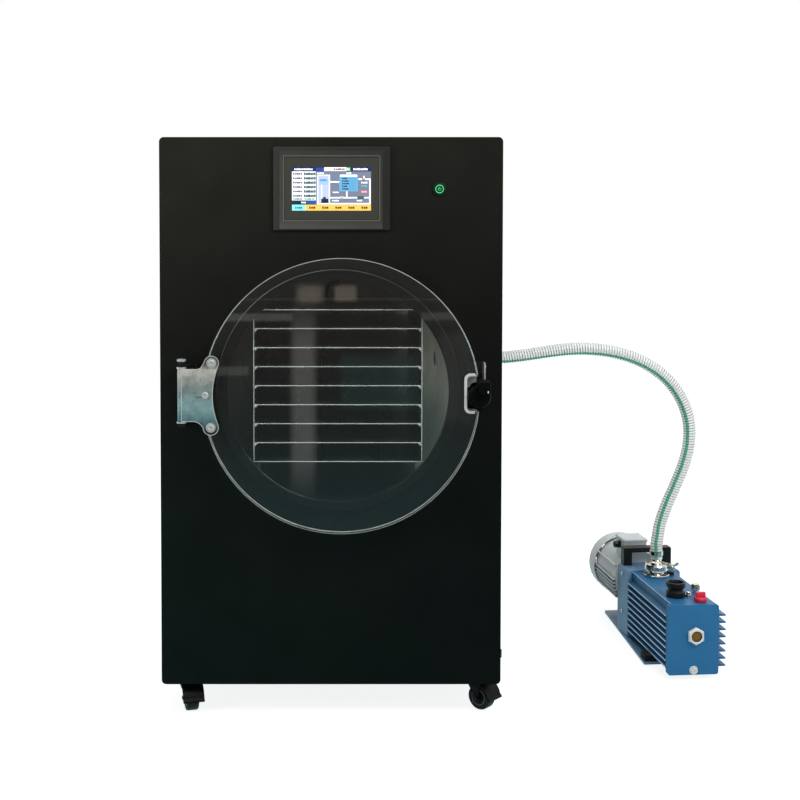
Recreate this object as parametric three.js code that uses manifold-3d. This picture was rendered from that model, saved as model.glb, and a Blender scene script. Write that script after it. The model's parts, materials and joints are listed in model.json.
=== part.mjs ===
// A free-standing vacuum freeze dryer with its oil-sealed vacuum pump and the hose between them.
//
// Units are millimetres. X runs to the right, Y to the back and Z up. The cabinet's pieces are placed
// from the middle of its front face at floor level, and the pump's from the foot of its own front plate.
// The whole group is moved last of all, so that its origin is the middle of its footprint on the floor.

import * as THREE from "three";
import { mergeVertices } from "three/addons/utils/BufferGeometryUtils.js";
import Module from "manifold-3d";

const wasm = await Module();
wasm.setup();

// ---------------------------------------------------------------- driving dimensions

const rest = 0.3; // between two pieces that bear on each other
const running = 0.5; // round a piece that turns or slides in another
const roundSides = 48; // facets of the chamber, the door and their rings
const smallSides = 24; // facets of knobs, wheels and fittings

const cabinet = { width: 660, depth: 760, height: 1062.4, lift: 65, sheet: 2, corner: 9, lip: 18 };
const frame = { wall: 3, floor: 86, tray: 128, post: 22, cradleX: 170, cradleFront: 150, cradleRear: 530 };
const chamber = { x: 13, z: 641, bore: 225, wall: 4, flange: 7, rimDepth: 12, proud: 6, length: 560, cap: 8 };
const jacket = { thick: 38, front: 25, end: 30 };
const gasket = { overhang: 13, thick: 7.4 };
const door = { overlap: 31, thick: 30, shift: 6, drop: 7.8, chamfer: 1.5 };
const notch = { deep: 25.7, below: 28.2, above: 40.5, corner: 8, liner: 1.2, lip: 4 };
const hinge = { off: 40, rise: 2.8, height: 100, sheet: 3, barrel: 8, pin: 4, ear: 5 };
const latch = { inset: 1.7, rise: 1.3, hub: 21.5, arm: 26, reach: 32, stud: 6, collar: 11, sheet: 2.5 };
const screen = { x: 1, z: 1028.6, width: 224, height: 159.5, proud: 6, recessW: 184, recessH: 121, recess: 2.4 };
const button = { x: 207.8, z: 1027.8, head: 13, proud: 3.5, barrel: 11, cap: 6.2, length: 40, travel: 2.5 };
const rack = { width: 326, gapAbove: 2.83, gapBelow: 10, front: 8, depth: 440, sheet: 2, corner: 8, shelves: 8 };
const shelf = { sheet: 1.6, gusset: 7, lowGusset: 0.4, firstDrop: 36.4, depth: 430, setback: 1 };
const rail = { width: 14, inward: 5, setback: 10 };
const lead = { radius: 3.5 };
const outlet = { y: 450, z: 659.7, bore: 10, pipe: 13, flange: 23, hex: 19, barb: 12, reach: 62 };
const drain = { y: 70, z: 102.4, knob: 7, knobDepth: 8, body: 15, pipe: 8, spoutY: 132 };
const compressor = { x: -120, y: 335, radius: 88, height: 205, foot: 4 };
const condenser = { x: 120, thick: 46, y: 190, length: 290, height: 236 };
const fan = { radius: 96, ring: 100, ringDepth: 34, hub: 26, motor: 30, blades: 5 };
const controls = { width: 380, height: 130, depth: 130, z: 950 };
const caster = { x: 283, front: 62, rear: 690, trail: 22, wheel: 25, tread: 24, head: 20, plate: 58, cheek: 2.5 };
const brake = { width: 42, clear: 2.5, thick: 3, pivotY: -12, pivotRise: 3 };
const casterTurn = { front_left: 16, front_right: 48, rear_left: -12, rear_right: 20 };

const pumpAt = { x: 764, y: 200.7, turn: 4.8 };
const casing = { width: 110, height: 149, foot: 12, length: 264, cover: 12, corner: 6 };
const fins = { right: { count: 8, root: 50, tip: 75 }, left: { count: 9, root: -45.5, tip: -55.5 } };
const bracket = { width: 124, x: 6, top: 164, thick: 73, corner: 8, base: 6, pad: 3 };
const plate = { front: 95, rear: 470, frontHalf: 73, rearHalf: 45, padX: 34, rearPadX: 24, padW: 22, padL: 20 };
const motor = { x: 2, radius: 66, rib: 4, axis: 120, length: 150, shaft: 6, boxW: 55, boxL: 62, boxX: -12, boxTop: 213 };
const cowl = { wall: 2, length: 44, over: 8, slots: 8 };
const handle = { width: 114, height: 42, leg: 20, bar: 12, depth: 24, fromRear: 6 };
const inlet = { y: 232, base: 30, neck: 17, flange: 20, bore: 11, top: 62 };
const clamp = { radius: 27, low: 12, height: 15 };
const exhaust = { x: -16, y: 64, radius: 18, waist: 13, height: 32 };
const filler = { x: 24, y: 25, radius: 14, height: 20 };
const ballast = { x: 37, y: 88, radius: 9, height: 20 };
const sight = { x: 4, z: 96, radius: 17.5, bore: 12, proud: 8 };
const hose = { radius: 14, sides: 10, steps: 26 };

// ---------------------------------------------------------------- values that follow from them

const side = cabinet.width / 2;
const bottom = cabinet.lift;
const top = bottom + cabinet.height;
const panelFront = cabinet.sheet + cabinet.lip + rest;
const inner = side - cabinet.sheet - rest;
const back = cabinet.depth - cabinet.sheet - rest;
const chamberOuter = chamber.bore + chamber.wall;
const chamberRim = chamber.bore + chamber.flange;
const jacketBore = chamberOuter + rest;
const jacketOuter = jacketBore + jacket.thick;
const doorRear = -(chamber.proud + rest + gasket.thick + rest);
const doorFront = doorRear - door.thick;
const doorRadius = chamberRim + door.overlap;
const doorX = chamber.x + door.shift;
const doorZ = chamber.z - door.drop;
const notchLeft = doorX + doorRadius - notch.deep;
const notchLow = doorZ - notch.below;
const notchHigh = doorZ + notch.above;
const hingePlateFront = doorFront - rest - hinge.sheet;
const hingeX = doorX - doorRadius - hinge.off;
const hingeY = hingePlateFront + hinge.barrel;
const hingeZ = doorZ + hinge.rise;
const latchX = doorX + doorRadius - latch.inset;
const latchZ = doorZ + latch.rise;
const rackTop = chamber.z + reachInBore(rack.gapAbove, rack.corner);
const rackFoot = chamber.z - reachInBore(rack.gapBelow, 0);
const shelfPitch = (rackTop - rackFoot - shelf.firstDrop - shelf.sheet - shelf.lowGusset) / (rack.shelves - 1);
const padLow = frame.floor - 2.5;
const casingTop = casing.foot + casing.height;
const motorFront = casing.length + rest + bracket.thick + rest;
const motorRear = motorFront + motor.length;

// How far above or below the chamber's axis the rack reaches when its corners, rounded by that radius, keep
// the gap to the bore.
function reachInBore(gap, radius) {
  return radius + Math.sqrt((chamber.bore - gap - radius) ** 2 - (rack.width / 2 - radius) ** 2);
}

// ---------------------------------------------------------------- looks

const looks = {
  cabinetBlack: { color: 0x121613, roughness: 0.32, metalness: 0.1 },
  plasticBlack: { color: 0x0d0e0e, roughness: 0.5, metalness: 0 },
  screenGlass: { color: 0x35507c, roughness: 0.15, metalness: 0 },
  bezelGrey: { color: 0x2c2b29, roughness: 0.55, metalness: 0 },
  acrylic: { color: 0xdfe7e6, roughness: 0.04, metalness: 0, transparent: true, opacity: 0.25 },
  stainless: { color: 0x9fa49e, roughness: 0.28, metalness: 1 },
  zinc: { color: 0xb9c4c0, roughness: 0.3, metalness: 1 },
  chrome: { color: 0xd8d8d6, roughness: 0.12, metalness: 1 },
  foam: { color: 0x2a2a2a, roughness: 0.9, metalness: 0 },
  silicone: { color: 0x6a706c, roughness: 0.6, metalness: 0 },
  frameSteel: { color: 0x2e3130, roughness: 0.5, metalness: 0.6 },
  finAluminium: { color: 0xa9adb0, roughness: 0.4, metalness: 1 },
  rubber: { color: 0x191919, roughness: 0.8, metalness: 0 },
  pumpBlue: { color: 0x2a6795, roughness: 0.4, metalness: 0.1 },
  bracketBlue: { color: 0x66788c, roughness: 0.45, metalness: 0.2 },
  motorGrey: { color: 0xb9bdc0, roughness: 0.45, metalness: 0.3 },
  fillerRed: { color: 0xc8203c, roughness: 0.35, metalness: 0 },
  sightBrown: { color: 0x6b4c10, roughness: 0.1, metalness: 0 },
  hoseClear: { color: 0xcfd4d2, roughness: 0.2, metalness: 0, transparent: true, opacity: 0.6 },
};

// ---------------------------------------------------------------- making solids

// A closed three.js geometry as a solid, turned right side out.
function solid(geometry) {
  const bare = geometry.clone();
  bare.deleteAttribute("normal");
  bare.deleteAttribute("uv");
  const merged = mergeVertices(bare, 1e-3);
  const corners = merged.index.array;
  const faces = [];
  for (let i = 0; i < corners.length; i += 3) {
    const [a, b, c] = corners.slice(i, i + 3);
    if (a !== b && b !== c && c !== a) faces.push(a, b, c);
  }
  const build = (triVerts) =>
    new wasm.Manifold(
      new wasm.Mesh({ numProp: 3, vertProperties: merged.attributes.position.array, triVerts }),
    );
  const made = build(new Uint32Array(faces));
  return made.volume() > 0 ? made : build(new Uint32Array(faces.reverse()));
}

function geometryOf(shape) {
  const mesh = shape.getMesh();
  const points = new Float32Array(mesh.numVert * 3);
  for (let i = 0; i < mesh.numVert; i++) {
    points.set(mesh.vertProperties.subarray(i * mesh.numProp, i * mesh.numProp + 3), i * 3);
  }
  const geometry = new THREE.BufferGeometry();
  geometry.setAttribute("position", new THREE.BufferAttribute(points, 3));
  geometry.setIndex(new THREE.BufferAttribute(new Uint32Array(mesh.triVerts), 1));
  geometry.computeVertexNormals();
  return geometry;
}

// A box given by its limits along X, Y and Z.
function block([x0, x1], [y0, y1], [z0, z1]) {
  const geometry = new THREE.BoxGeometry(x1 - x0, y1 - y0, z1 - z0);
  return solid(geometry.translate((x0 + x1) / 2, (y0 + y1) / 2, (z0 + z1) / 2));
}

// Turns a geometry made along the named local axis so that it lies along X, Y or Z, through (u, v) of the
// other two axes in X, Y, Z order.
const across = {
  x: (u, v) => [0, u, v],
  y: (u, v) => [u, 0, v],
  z: (u, v) => [u, v, 0],
};
const turnFromY = {
  x: (g) => g.rotateZ(-Math.PI / 2),
  y: (g) => g,
  z: (g) => g.rotateX(Math.PI / 2),
};

// A cylinder along an axis between two stations.
function rod(axis, radius, [from, to], [u, v], sides = smallSides) {
  const geometry = new THREE.CylinderGeometry(radius, radius, to - from, sides);
  geometry.translate(0, (from + to) / 2, 0);
  return solid(turnFromY[axis](geometry).translate(...across[axis](u, v)));
}

// A body of revolution: each point of the profile is [radius, station along the axis].
function revolve(axis, profile, [u, v], sides = smallSides) {
  const onAxis = profile[0][0] === 0 && profile.at(-1)[0] === 0;
  const closed = onAxis ? profile : [...profile, profile[0]];
  const points = closed.map(([r, s]) => new THREE.Vector2(r, s));
  const geometry = new THREE.LatheGeometry(points, sides);
  return solid(turnFromY[axis](geometry).translate(...across[axis](u, v)));
}

// A ring with a square section.
function ring(axis, [bore, rim], [from, to], at, sides = smallSides) {
  return revolve(axis, [[bore, from], [rim, from], [rim, to], [bore, to]], at, sides);
}

// Flat outlines are carried along X, Y or Z. An outline for X is drawn in (y, z), for Y in (x, z), for Z in (x, y).
const basis = {
  x: new THREE.Matrix4().makeBasis(
    new THREE.Vector3(0, 1, 0), new THREE.Vector3(0, 0, 1), new THREE.Vector3(1, 0, 0)),
  y: new THREE.Matrix4().makeBasis(
    new THREE.Vector3(1, 0, 0), new THREE.Vector3(0, 0, 1), new THREE.Vector3(0, -1, 0)),
  z: new THREE.Matrix4(),
};

function carry(axis, outline, [from, to], curveSegments = 5) {
  const geometry = new THREE.ExtrudeGeometry(outline, {
    depth: to - from,
    bevelEnabled: false,
    curveSegments,
  });
  geometry.applyMatrix4(basis[axis]);
  const start = axis === "y" ? to : from;
  return solid(geometry.translate(...["x", "y", "z"].map((one) => (one === axis ? start : 0))));
}

function polygon(points) {
  return new THREE.Shape(points.map(([x, y]) => new THREE.Vector2(x, y)));
}

function roundedRect([x0, x1], [y0, y1], r) {
  const shape = new THREE.Shape();
  shape.moveTo(x0 + r, y0);
  shape.lineTo(x1 - r, y0);
  shape.absarc(x1 - r, y0 + r, r, -Math.PI / 2, 0);
  shape.lineTo(x1, y1 - r);
  shape.absarc(x1 - r, y1 - r, r, 0, Math.PI / 2);
  shape.lineTo(x0 + r, y1);
  shape.absarc(x0 + r, y1 - r, r, Math.PI / 2, Math.PI);
  shape.lineTo(x0, y0 + r);
  shape.absarc(x0 + r, y0 + r, r, Math.PI, 1.5 * Math.PI);
  return shape;
}

function joined(...shapes) {
  return shapes.reduce((all, one) => all.add(one));
}

function cut(shape, ...tools) {
  return tools.reduce((left, tool) => left.subtract(tool), shape);
}

function piece(parent, name, look, shape) {
  const material = new THREE.MeshStandardMaterial({ ...looks[look], name: look });
  const mesh = new THREE.Mesh(geometryOf(shape), material);
  mesh.name = name;
  parent.add(mesh);
  return mesh;
}

// ---------------------------------------------------------------- cabinet

// A welded tray with corner posts, two cradles under the chamber and a pad with a kingpin for each caster.
function baseFrame() {
  const { wall, floor, tray, post } = frame;
  const outer = [[-inner, inner], [panelFront, back]];
  const within = [[-inner + wall, inner - wall], [panelFront + wall, back - wall]];
  let body = cut(
    block(...outer, [bottom + rest, tray]),
    block(...within, [floor + wall, tray + 1]),
    block(...within, [bottom - 1, floor]),
  );
  for (const sx of [-1, 1]) {
    for (const atBack of [false, true]) {
      const xs = [sx * inner, sx * (inner - post)].sort((a, b) => a - b);
      const xWall = [sx * inner, sx * (inner - wall)].sort((a, b) => a - b);
      const ys = atBack ? [back - post, back] : [panelFront, panelFront + post];
      const yWall = atBack ? [back - wall, back] : [panelFront, panelFront + wall];
      const z = [floor + wall - 1, top - cabinet.corner];
      body = joined(body, block(xs, yWall, z), block(xWall, ys, z));
    }
  }
  for (const y of [frame.cradleFront, frame.cradleRear]) {
    const plate = block(
      [chamber.x - frame.cradleX, chamber.x + frame.cradleX],
      [y, y + wall],
      [floor + wall - 1, chamber.z - jacketOuter * 0.66],
    );
    const seat = rod("y", jacketOuter + rest, [y - 1, y + wall + 1], [chamber.x, chamber.z], roundSides);
    const doorway = block(
      [chamber.x - frame.cradleX + 40, chamber.x + frame.cradleX - 40],
      [y - 1, y + wall + 1],
      [floor + wall + 40, chamber.z - jacketOuter - 30],
    );
    body = joined(body, cut(plate, seat, doorway));
  }
  for (const [x, y] of casterPlaces()) {
    const half = caster.plate / 2;
    const pad = block([x - half, x + half], [y - half + 8, y + half - 8], [padLow, floor + 1]);
    const kingpin = rod("z", 5, [padLow - 9, floor + 1], [x, y], 12);
    body = joined(body, pad, kingpin);
  }
  const drainHole = rod("z", drain.pipe, [bottom - 1, floor + wall + 1], [inner - 22, drain.spoutY], 12);
  const wallHole = rod("x", drain.pipe + 4, [inner - wall - 1, inner + 1], [drain.y, drain.z], 12);
  return cut(body, drainHole, wallHole);
}

function casterPlaces() {
  return [
    [-caster.x, caster.front],
    [caster.x, caster.front],
    [-caster.x, caster.rear],
    [caster.x, caster.rear],
  ];
}

// The front is one folded pan with the openings for the mouth, the screen, the button and the latch stud.
function frontPanel() {
  const { sheet, corner, lip } = cabinet;
  const outer = carry("y", roundedRect([-side, side], [bottom, top], corner), [0, sheet + lip]);
  const pocket = carry(
    "y",
    roundedRect([-side + sheet, side - sheet], [bottom + sheet, top - sheet], corner - sheet),
    [sheet, sheet + lip + 1],
  );
  const mouth = rod("y", chamberRim + running, [-1, sheet + 1], [chamber.x, chamber.z], roundSides);
  const display = block(
    [screen.x - screen.width / 2 + 9, screen.x + screen.width / 2 - 9],
    [-1, sheet + 1],
    [screen.z - screen.height / 2 + 9, screen.z + screen.height / 2 - 9],
  );
  const switchHole = rod("y", button.barrel + rest, [-1, sheet + 1], [button.x, button.z]);
  return cut(outer, pocket, mouth, display, switchHole);
}

// Side sheets stand on the tray's edge and carry two columns of slots beside the cooling unit.
function sidePanel(sign) {
  const { sheet, corner } = cabinet;
  const xs = sign < 0 ? [-side, -side + sheet] : [side - sheet, side];
  let body = block(xs, [panelFront, cabinet.depth], [bottom, top - corner - 15 - rest]);
  const slot = { length: 150, height: 6, pitch: 18, rows: 11, from: 110 };
  for (let row = 0; row < slot.rows; row++) {
    for (const y of [condenser.y - 20, condenser.y + 150]) {
      const z = slot.from + row * slot.pitch;
      body = cut(body, block([xs[0] - 1, xs[1] + 1], [y, y + slot.length], [z, z + slot.height]));
    }
  }
  if (sign < 0) return body;
  return cut(
    body,
    rod("x", outlet.pipe + rest, [xs[0] - 1, xs[1] + 1], [outlet.y, outlet.z]),
    rod("x", drain.pipe + rest, [xs[0] - 1, xs[1] + 1], [drain.y, drain.z]),
  );
}

// The lid folds down over the side sheets with the same corner radius as the front.
function topPanel() {
  const { sheet, corner } = cabinet;
  const drop = corner + 15;
  const outline = (out, low, high, r) => {
    const shape = new THREE.Shape();
    shape.moveTo(-out, low);
    shape.lineTo(out, low);
    shape.lineTo(out, high - r);
    shape.absarc(out - r, high - r, r, 0, Math.PI / 2);
    shape.lineTo(-out + r, high);
    shape.absarc(-out + r, high - r, r, Math.PI / 2, Math.PI);
    return shape;
  };
  const within = outline(side - sheet, top - drop - 1, top - sheet, corner - sheet);
  return cut(
    carry("y", outline(side, top - drop, top, corner), [panelFront, cabinet.depth]),
    carry("y", within, [panelFront - 1, cabinet.depth + 1]),
  );
}

function rearPanel() {
  let body = block([-inner, inner], [back + rest, cabinet.depth], [bottom + rest, top - cabinet.corner]);
  for (let row = 0; row < 9; row++) {
    const z = 160 + row * 20;
    body = cut(body, block([-130, 130], [back, cabinet.depth + 1], [z, z + 7]));
  }
  return body;
}

// ---------------------------------------------------------------- chamber, rack and door

// A drawn steel drum with a welded rim, a closed end, the outlet and drain ports and two rails.
function vacuumChamber() {
  const { bore, wall, rimDepth, proud, length, cap, x, z } = chamber;
  const drum = revolve(
    "y",
    [
      [0, length + cap],
      [chamberOuter - 10, length + cap],
      [chamberOuter, length + cap - 10],
      [chamberOuter, rimDepth - proud],
      [chamberRim, rimDepth - proud],
      [chamberRim, -proud],
      [bore, -proud],
      [bore, length],
      [0, length],
    ],
    [x, z],
    roundSides,
  );
  const port = rod("x", outlet.bore, [x, x + chamberOuter + 5], [outlet.y, outlet.z], 12);
  let body = cut(drum, port);
  for (const sign of [-1, 1]) {
    const at = x + sign * (rack.width / 2 - rail.inward);
    const half = rail.width / 2;
    const depth = Math.sqrt((bore + wall / 2) ** 2 - (rack.width / 2) ** 2);
    const ys = [rack.front + rail.setback, rack.front + rack.depth - rail.setback];
    const bar = block([at - half, at + half], ys, [z - depth, rackFoot - rest]);
    body = body.add(bar);
  }
  return body;
}

function chamberInsulation() {
  const rear = chamber.length + chamber.cap + rest;
  const sleeve = revolve(
    "y",
    [
      [0, rear],
      [jacketBore, rear],
      [jacketBore, jacket.front],
      [jacketOuter, jacket.front],
      [jacketOuter, rear + jacket.end],
      [0, rear + jacket.end],
    ],
    [chamber.x, chamber.z],
    roundSides,
  );
  return cut(
    sleeve,
    rod("x", outlet.pipe + running, [chamber.x + 180, chamber.x + jacketOuter + 5], [outlet.y, outlet.z], 16),
    rod("z", 5 + running, [chamber.z - jacketOuter - 5, chamber.z - 180], [chamber.x, drain.y], 16),
  );
}

// The seal sits on the rim and its lip turns into the mouth.
function doorGasket() {
  const from = doorRear + rest;
  const radii = [chamber.bore - gasket.overhang, chamberRim];
  return ring("y", radii, [from, from + gasket.thick], [chamber.x, chamber.z], roundSides);
}

// One sheet folded into an upside-down U.
function rackFrame() {
  const half = rack.width / 2;
  const arch = (out, low, high, r) => {
    const shape = new THREE.Shape();
    shape.moveTo(-out, low);
    shape.lineTo(out, low);
    shape.lineTo(out, high - r);
    shape.absarc(out - r, high - r, r, 0, Math.PI / 2);
    shape.lineTo(-out + r, high);
    shape.absarc(-out + r, high - r, r, Math.PI / 2, Math.PI);
    return shape;
  };
  const span = [rack.front, rack.front + rack.depth];
  const outer = carry("y", arch(half, rackFoot, rackTop, rack.corner), span);
  const hollow = carry(
    "y",
    arch(half - rack.sheet, rackFoot - 1, rackTop - rack.sheet, rack.corner - rack.sheet),
    [span[0] - 1, span[1] + 1],
  );
  return cut(outer, hollow).translate([chamber.x, 0, 0]);
}

const shelfFront = rack.front + shelf.setback;

// A shelf is a sheet with a three-cornered gusset folded under each end.
function rackShelf(index) {
  const half = rack.width / 2 - rack.sheet - rest;
  const z = rackTop - shelf.firstDrop - index * shelfPitch;
  const { sheet } = shelf;
  const gusset = index < rack.shelves - 1 ? shelf.gusset : shelf.lowGusset;
  const outline = polygon([
    [-half, z],
    [-half, z - sheet - gusset],
    [-half + 1.5, z - sheet - gusset],
    [-half + gusset + 1.5, z - sheet],
    [half - gusset - 1.5, z - sheet],
    [half - 1.5, z - sheet - gusset],
    [half, z - sheet - gusset],
    [half, z],
  ]);
  return carry("y", outline, [shelfFront, shelfFront + shelf.depth]).translate([chamber.x, 0, 0]);
}

// The heater lead runs from a plug in the chamber's end to the back of the rack.
const leadRoute = [
  [10, chamber.length - 1, 829],
  [9.8, 552, 829],
  [7, 540, 830],
  [-1, 518, 828],
  [-9, 500, 816],
  [-11, 488, 799],
  [-6, 474, 779],
  [4, 461, 769],
  [11, 450, 761.8],
  [11, shelfFront + shelf.depth + rest, 759.8],
];

function tube(route, radius, sides, steps) {
  const curve = new THREE.CatmullRomCurve3(route.map((p) => new THREE.Vector3(...p)));
  const section = new THREE.Shape();
  section.absarc(0, 0, radius, 0, 2 * Math.PI);
  const geometry = new THREE.ExtrudeGeometry(section, {
    steps,
    curveSegments: sides / 4,
    extrudePath: curve,
    bevelEnabled: false,
  });
  return solid(geometry);
}

// A heavy clear disc with a notch for the latch in its right edge.
function doorDisc() {
  const { chamfer } = door;
  const radius = doorRadius;
  const disc = revolve(
    "y",
    [
      [0, doorRear],
      [radius - chamfer, doorRear],
      [radius, doorRear - chamfer],
      [radius, doorFront + chamfer],
      [radius - chamfer, doorFront],
      [0, doorFront],
    ],
    [doorX, doorZ],
    2 * roundSides,
  );
  const span = [doorFront - 1, doorRear + 1];
  const latchCut = carry(
    "y",
    roundedRect([notchLeft, doorX + radius + 20], [notchLow, notchHigh], notch.corner),
    span,
  );
  return cut(disc, latchCut);
}

// ---------------------------------------------------------------- hinge

// The door's hinge leaf: a plate with two rounded ears, its left edge rolled round the pin.
function hingePlate() {
  const half = hinge.height / 2;
  const { barrel } = hinge;
  const x = hingeX;
  const z = hingeZ;
  const right = x + 68.5;
  const upper = { x: x + 57.5, z: z + 61.4, r: 14 };
  const lower = { x: x + 55.8, z: z - 61.2, r: 15 };
  const shape = new THREE.Shape();
  shape.moveTo(x, z - half);
  shape.lineTo(x + 22, z - half);
  shape.quadraticCurveTo(x + 33, z - half, lower.x - lower.r, lower.z);
  shape.absarc(lower.x, lower.z, lower.r, Math.PI, 2 * Math.PI + 0.35);
  shape.quadraticCurveTo(right - 20, z, upper.x + upper.r * Math.cos(0.35), upper.z - upper.r * Math.sin(0.35));
  shape.absarc(upper.x, upper.z, upper.r, -0.35, Math.PI - 0.3);
  shape.quadraticCurveTo(x + 38, z + half, x + 30, z + half);
  shape.lineTo(x, z + half);
  const leaf = carry("y", shape, [hingePlateFront, hingePlateFront + hinge.sheet], 8);
  const roll = rod("z", barrel, [z - half, z + half], [x, hingeY]);
  const bore = rod("z", hinge.pin + running, [z - half - 1, z + half + 1], [x, hingeY], 16);
  return cut(joined(leaf, roll), bore);
}

// The cabinet's half: a base plate, two ears and the pin through them.
function hingeBracket() {
  const half = hinge.height / 2 + running;
  const { ear, barrel } = hinge;
  const x = hingeX;
  const z = hingeZ;
  const reach = half + ear;
  const plate = block([x - 8, x + 27], [-4.3, -rest], [z - reach, z + reach]);
  let body = plate;
  for (const from of [z - reach, z + half]) {
    const outline = new THREE.Shape();
    outline.moveTo(x + 20, -1);
    outline.lineTo(x - barrel, -1);
    outline.lineTo(x - barrel, hingeY);
    outline.absarc(x, hingeY, barrel, Math.PI, 2 * Math.PI);
    outline.lineTo(x + 20, -8);
    body = body.add(carry("z", outline, [from, from + ear]));
  }
  const pin = rod("z", hinge.pin, [z - reach - 5, z + reach + 4], [x, hingeY], 16);
  const head = rod("z", 8, [z + reach + 3, z + reach + 9], [x, hingeY], 6);
  const nut = rod("z", 7, [z - reach - 5, z - reach + 0.5], [x, hingeY], 6);
  return joined(body, pin, head, nut);
}

// ---------------------------------------------------------------- latch

// A plated bracket on the cabinet: base plate, one turned-up edge and the stud that the knob turns on.
function latchBracket() {
  const { stud, collar, sheet } = latch;
  const x = latchX;
  const z = latchZ;
  const plate = block([x - 19, x + 15], [-sheet - rest, -rest], [z - 32, z + 61]);
  const edge = block([x + 11.5, x + 14.5], [-26, -rest], [z + 28, z + 61]);
  const post = rod("y", stud, [doorFront - 20, -rest], [x, z], 16);
  const sleeve = rod("y", collar, [doorFront + 2, -rest], [x, z], 16);
  return joined(plate, edge, post, sleeve);
}

// A round black knob with a clamping arm, which points up out of the door's way until it is turned.
function latchKnob() {
  const { hub, arm, reach, stud } = latch;
  const x = latchX;
  const z = latchZ;
  const y = [doorFront - 17, doorFront - 2.5];
  const disc = revolve(
    "y",
    [
      [0, y[1]],
      [hub, y[1]],
      [hub, y[0] + 3],
      [hub - 3, y[0]],
      [0, y[0]],
    ],
    [x, z],
    smallSides,
  );
  const lever = carry("y", roundedRect([x - 5, x - 5 + arm], [z, z + reach], 4), [y[0] + 2, y[1]]);
  const grip = carry("y", roundedRect([x - 4, x - 4 + 24], [z + 6, z + reach - 1], 4), [y[0] - 9, y[0] + 3]);
  const bore = rod("y", stud + running, [doorFront - 20.5, y[1] + 1], [x, z], 16);
  return cut(joined(disc, lever, grip), bore);
}

// A folded strip lines the notch, with a lip over the door's face for the arm to bear on.
function latchKeeper() {
  const { corner, liner, lip } = notch;
  const right = doorX + Math.sqrt(doorRadius ** 2 - notch.above ** 2) - 2;
  const beyond = right + 20;
  const face = doorFront - liner;
  // A rounded strip of the notch, set in by a step on its three closed sides.
  const band = (step, r, ys) =>
    carry("y", roundedRect([notchLeft + step, beyond + step], [notchLow + step, notchHigh - step], r), ys);
  const strip = cut(
    band(rest, corner, [face, doorRear - 1]),
    band(rest + liner, corner - liner, [face - 1, doorRear]),
    block([right, beyond + 10], [face - 1, doorRear], [notchLow - 1, notchHigh + 1]),
  );
  const flat = cut(
    band(-lip, corner + lip, [face, doorFront - rest]),
    band(1, corner - 1, [face - 1, doorFront]),
    block([right - lip, beyond + 10], [face - 1, doorFront], [notchLow - 9, notchHigh + 9]),
  );
  return joined(strip, flat);
}

// ---------------------------------------------------------------- controls

function screenBezel() {
  const { x, z, width, height, proud, recessW, recessH, recess } = screen;
  const face = carry(
    "y",
    roundedRect([x - width / 2, x + width / 2], [z - height / 2, z + height / 2], 3),
    [-proud - rest, -rest],
    3,
  );
  const body = block(
    [x - width / 2 + 12, x + width / 2 - 12],
    [-rest - 1, 42],
    [z - height / 2 + 12, z + height / 2 - 12],
  );
  const pocket = block(
    [x - recessW / 2, x + recessW / 2],
    [-proud - 1 - rest, -proud - rest + recess],
    [z - recessH / 2, z + recessH / 2],
  );
  return cut(joined(face, body), pocket);
}

function screenDisplay() {
  const { x, z, proud, recessW, recessH, recess } = screen;
  const front = -proud - rest + 0.8;
  return block(
    [x - recessW / 2 + rest, x + recessW / 2 - rest],
    [front, -proud - rest + recess - rest],
    [z - recessH / 2 + rest, z + recessH / 2 - rest],
  );
}

function buttonHousing() {
  const { x, z, head, proud, barrel, cap, length } = button;
  const bore = cap + running / 2;
  return revolve(
    "y",
    [
      [0, 12],
      [bore, 12],
      [bore, -proud],
      [head - 1, -proud],
      [head, -proud + 1],
      [head, -rest],
      [barrel, -rest],
      [barrel, length],
      [0, length],
    ],
    [x, z],
  );
}

function powerButton() {
  const { x, z, proud, cap, travel } = button;
  const front = -proud - 0.6;
  return revolve(
    "y",
    [[0, 12 - travel - running], [cap, 12 - travel - running], [cap, front + 0.6], [cap - 0.6, front], [0, front]],
    [x, z],
  );
}

// A closed steel box of supplies and relays, hung on the rear sheet.
function controlBox() {
  const { width, height, depth, z } = controls;
  return block([-width / 2, width / 2], [back - depth, back], [z, z + height]);
}

// ---------------------------------------------------------------- cooling unit and drain

// A welded steel pot with domed ends on a plate with four rubber feet.
function compressorPot() {
  const { x, y, radius, height, foot } = compressor;
  const floor = frame.floor + frame.wall + rest;
  const plateLow = floor + 9;
  const pot = revolve(
    "z",
    [
      [0, plateLow + 1],
      [radius - 30, plateLow + 1],
      [radius - 4, plateLow + 22],
      [radius, plateLow + 34],
      [radius, plateLow + height - 40],
      [radius - 12, plateLow + height - 16],
      [radius - 44, plateLow + height],
      [0, plateLow + height + 3],
    ],
    [x, y],
  );
  let body = pot.add(block([x - 110, x + 110], [y - 75, y + 75], [plateLow, plateLow + foot]));
  for (const sx of [-1, 1]) {
    for (const sy of [-1, 1]) {
      body = body.add(rod("z", 12, [floor, plateLow + 1], [x + sx * 95, y + sy * 60], 12));
    }
  }
  return body;
}

// A finned block, slotted from the side that the fan draws through.
function condenserCoil() {
  const { x, thick, y, length, height } = condenser;
  const z = frame.floor + frame.wall + rest;
  let body = block([x, x + thick], [y, y + length], [z, z + height]);
  for (let i = 1; i < 10; i++) {
    const at = y + (i * length) / 10;
    body = cut(body, block([x - 1, x + thick - 8], [at - 4, at + 4], [z + 12, z + height - 12]));
  }
  return body;
}

const fanAt = { y: condenser.y + condenser.length / 2, z: frame.floor + frame.wall + rest + condenser.height / 2 };
const fanFace = condenser.x + condenser.thick + rest;

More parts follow.
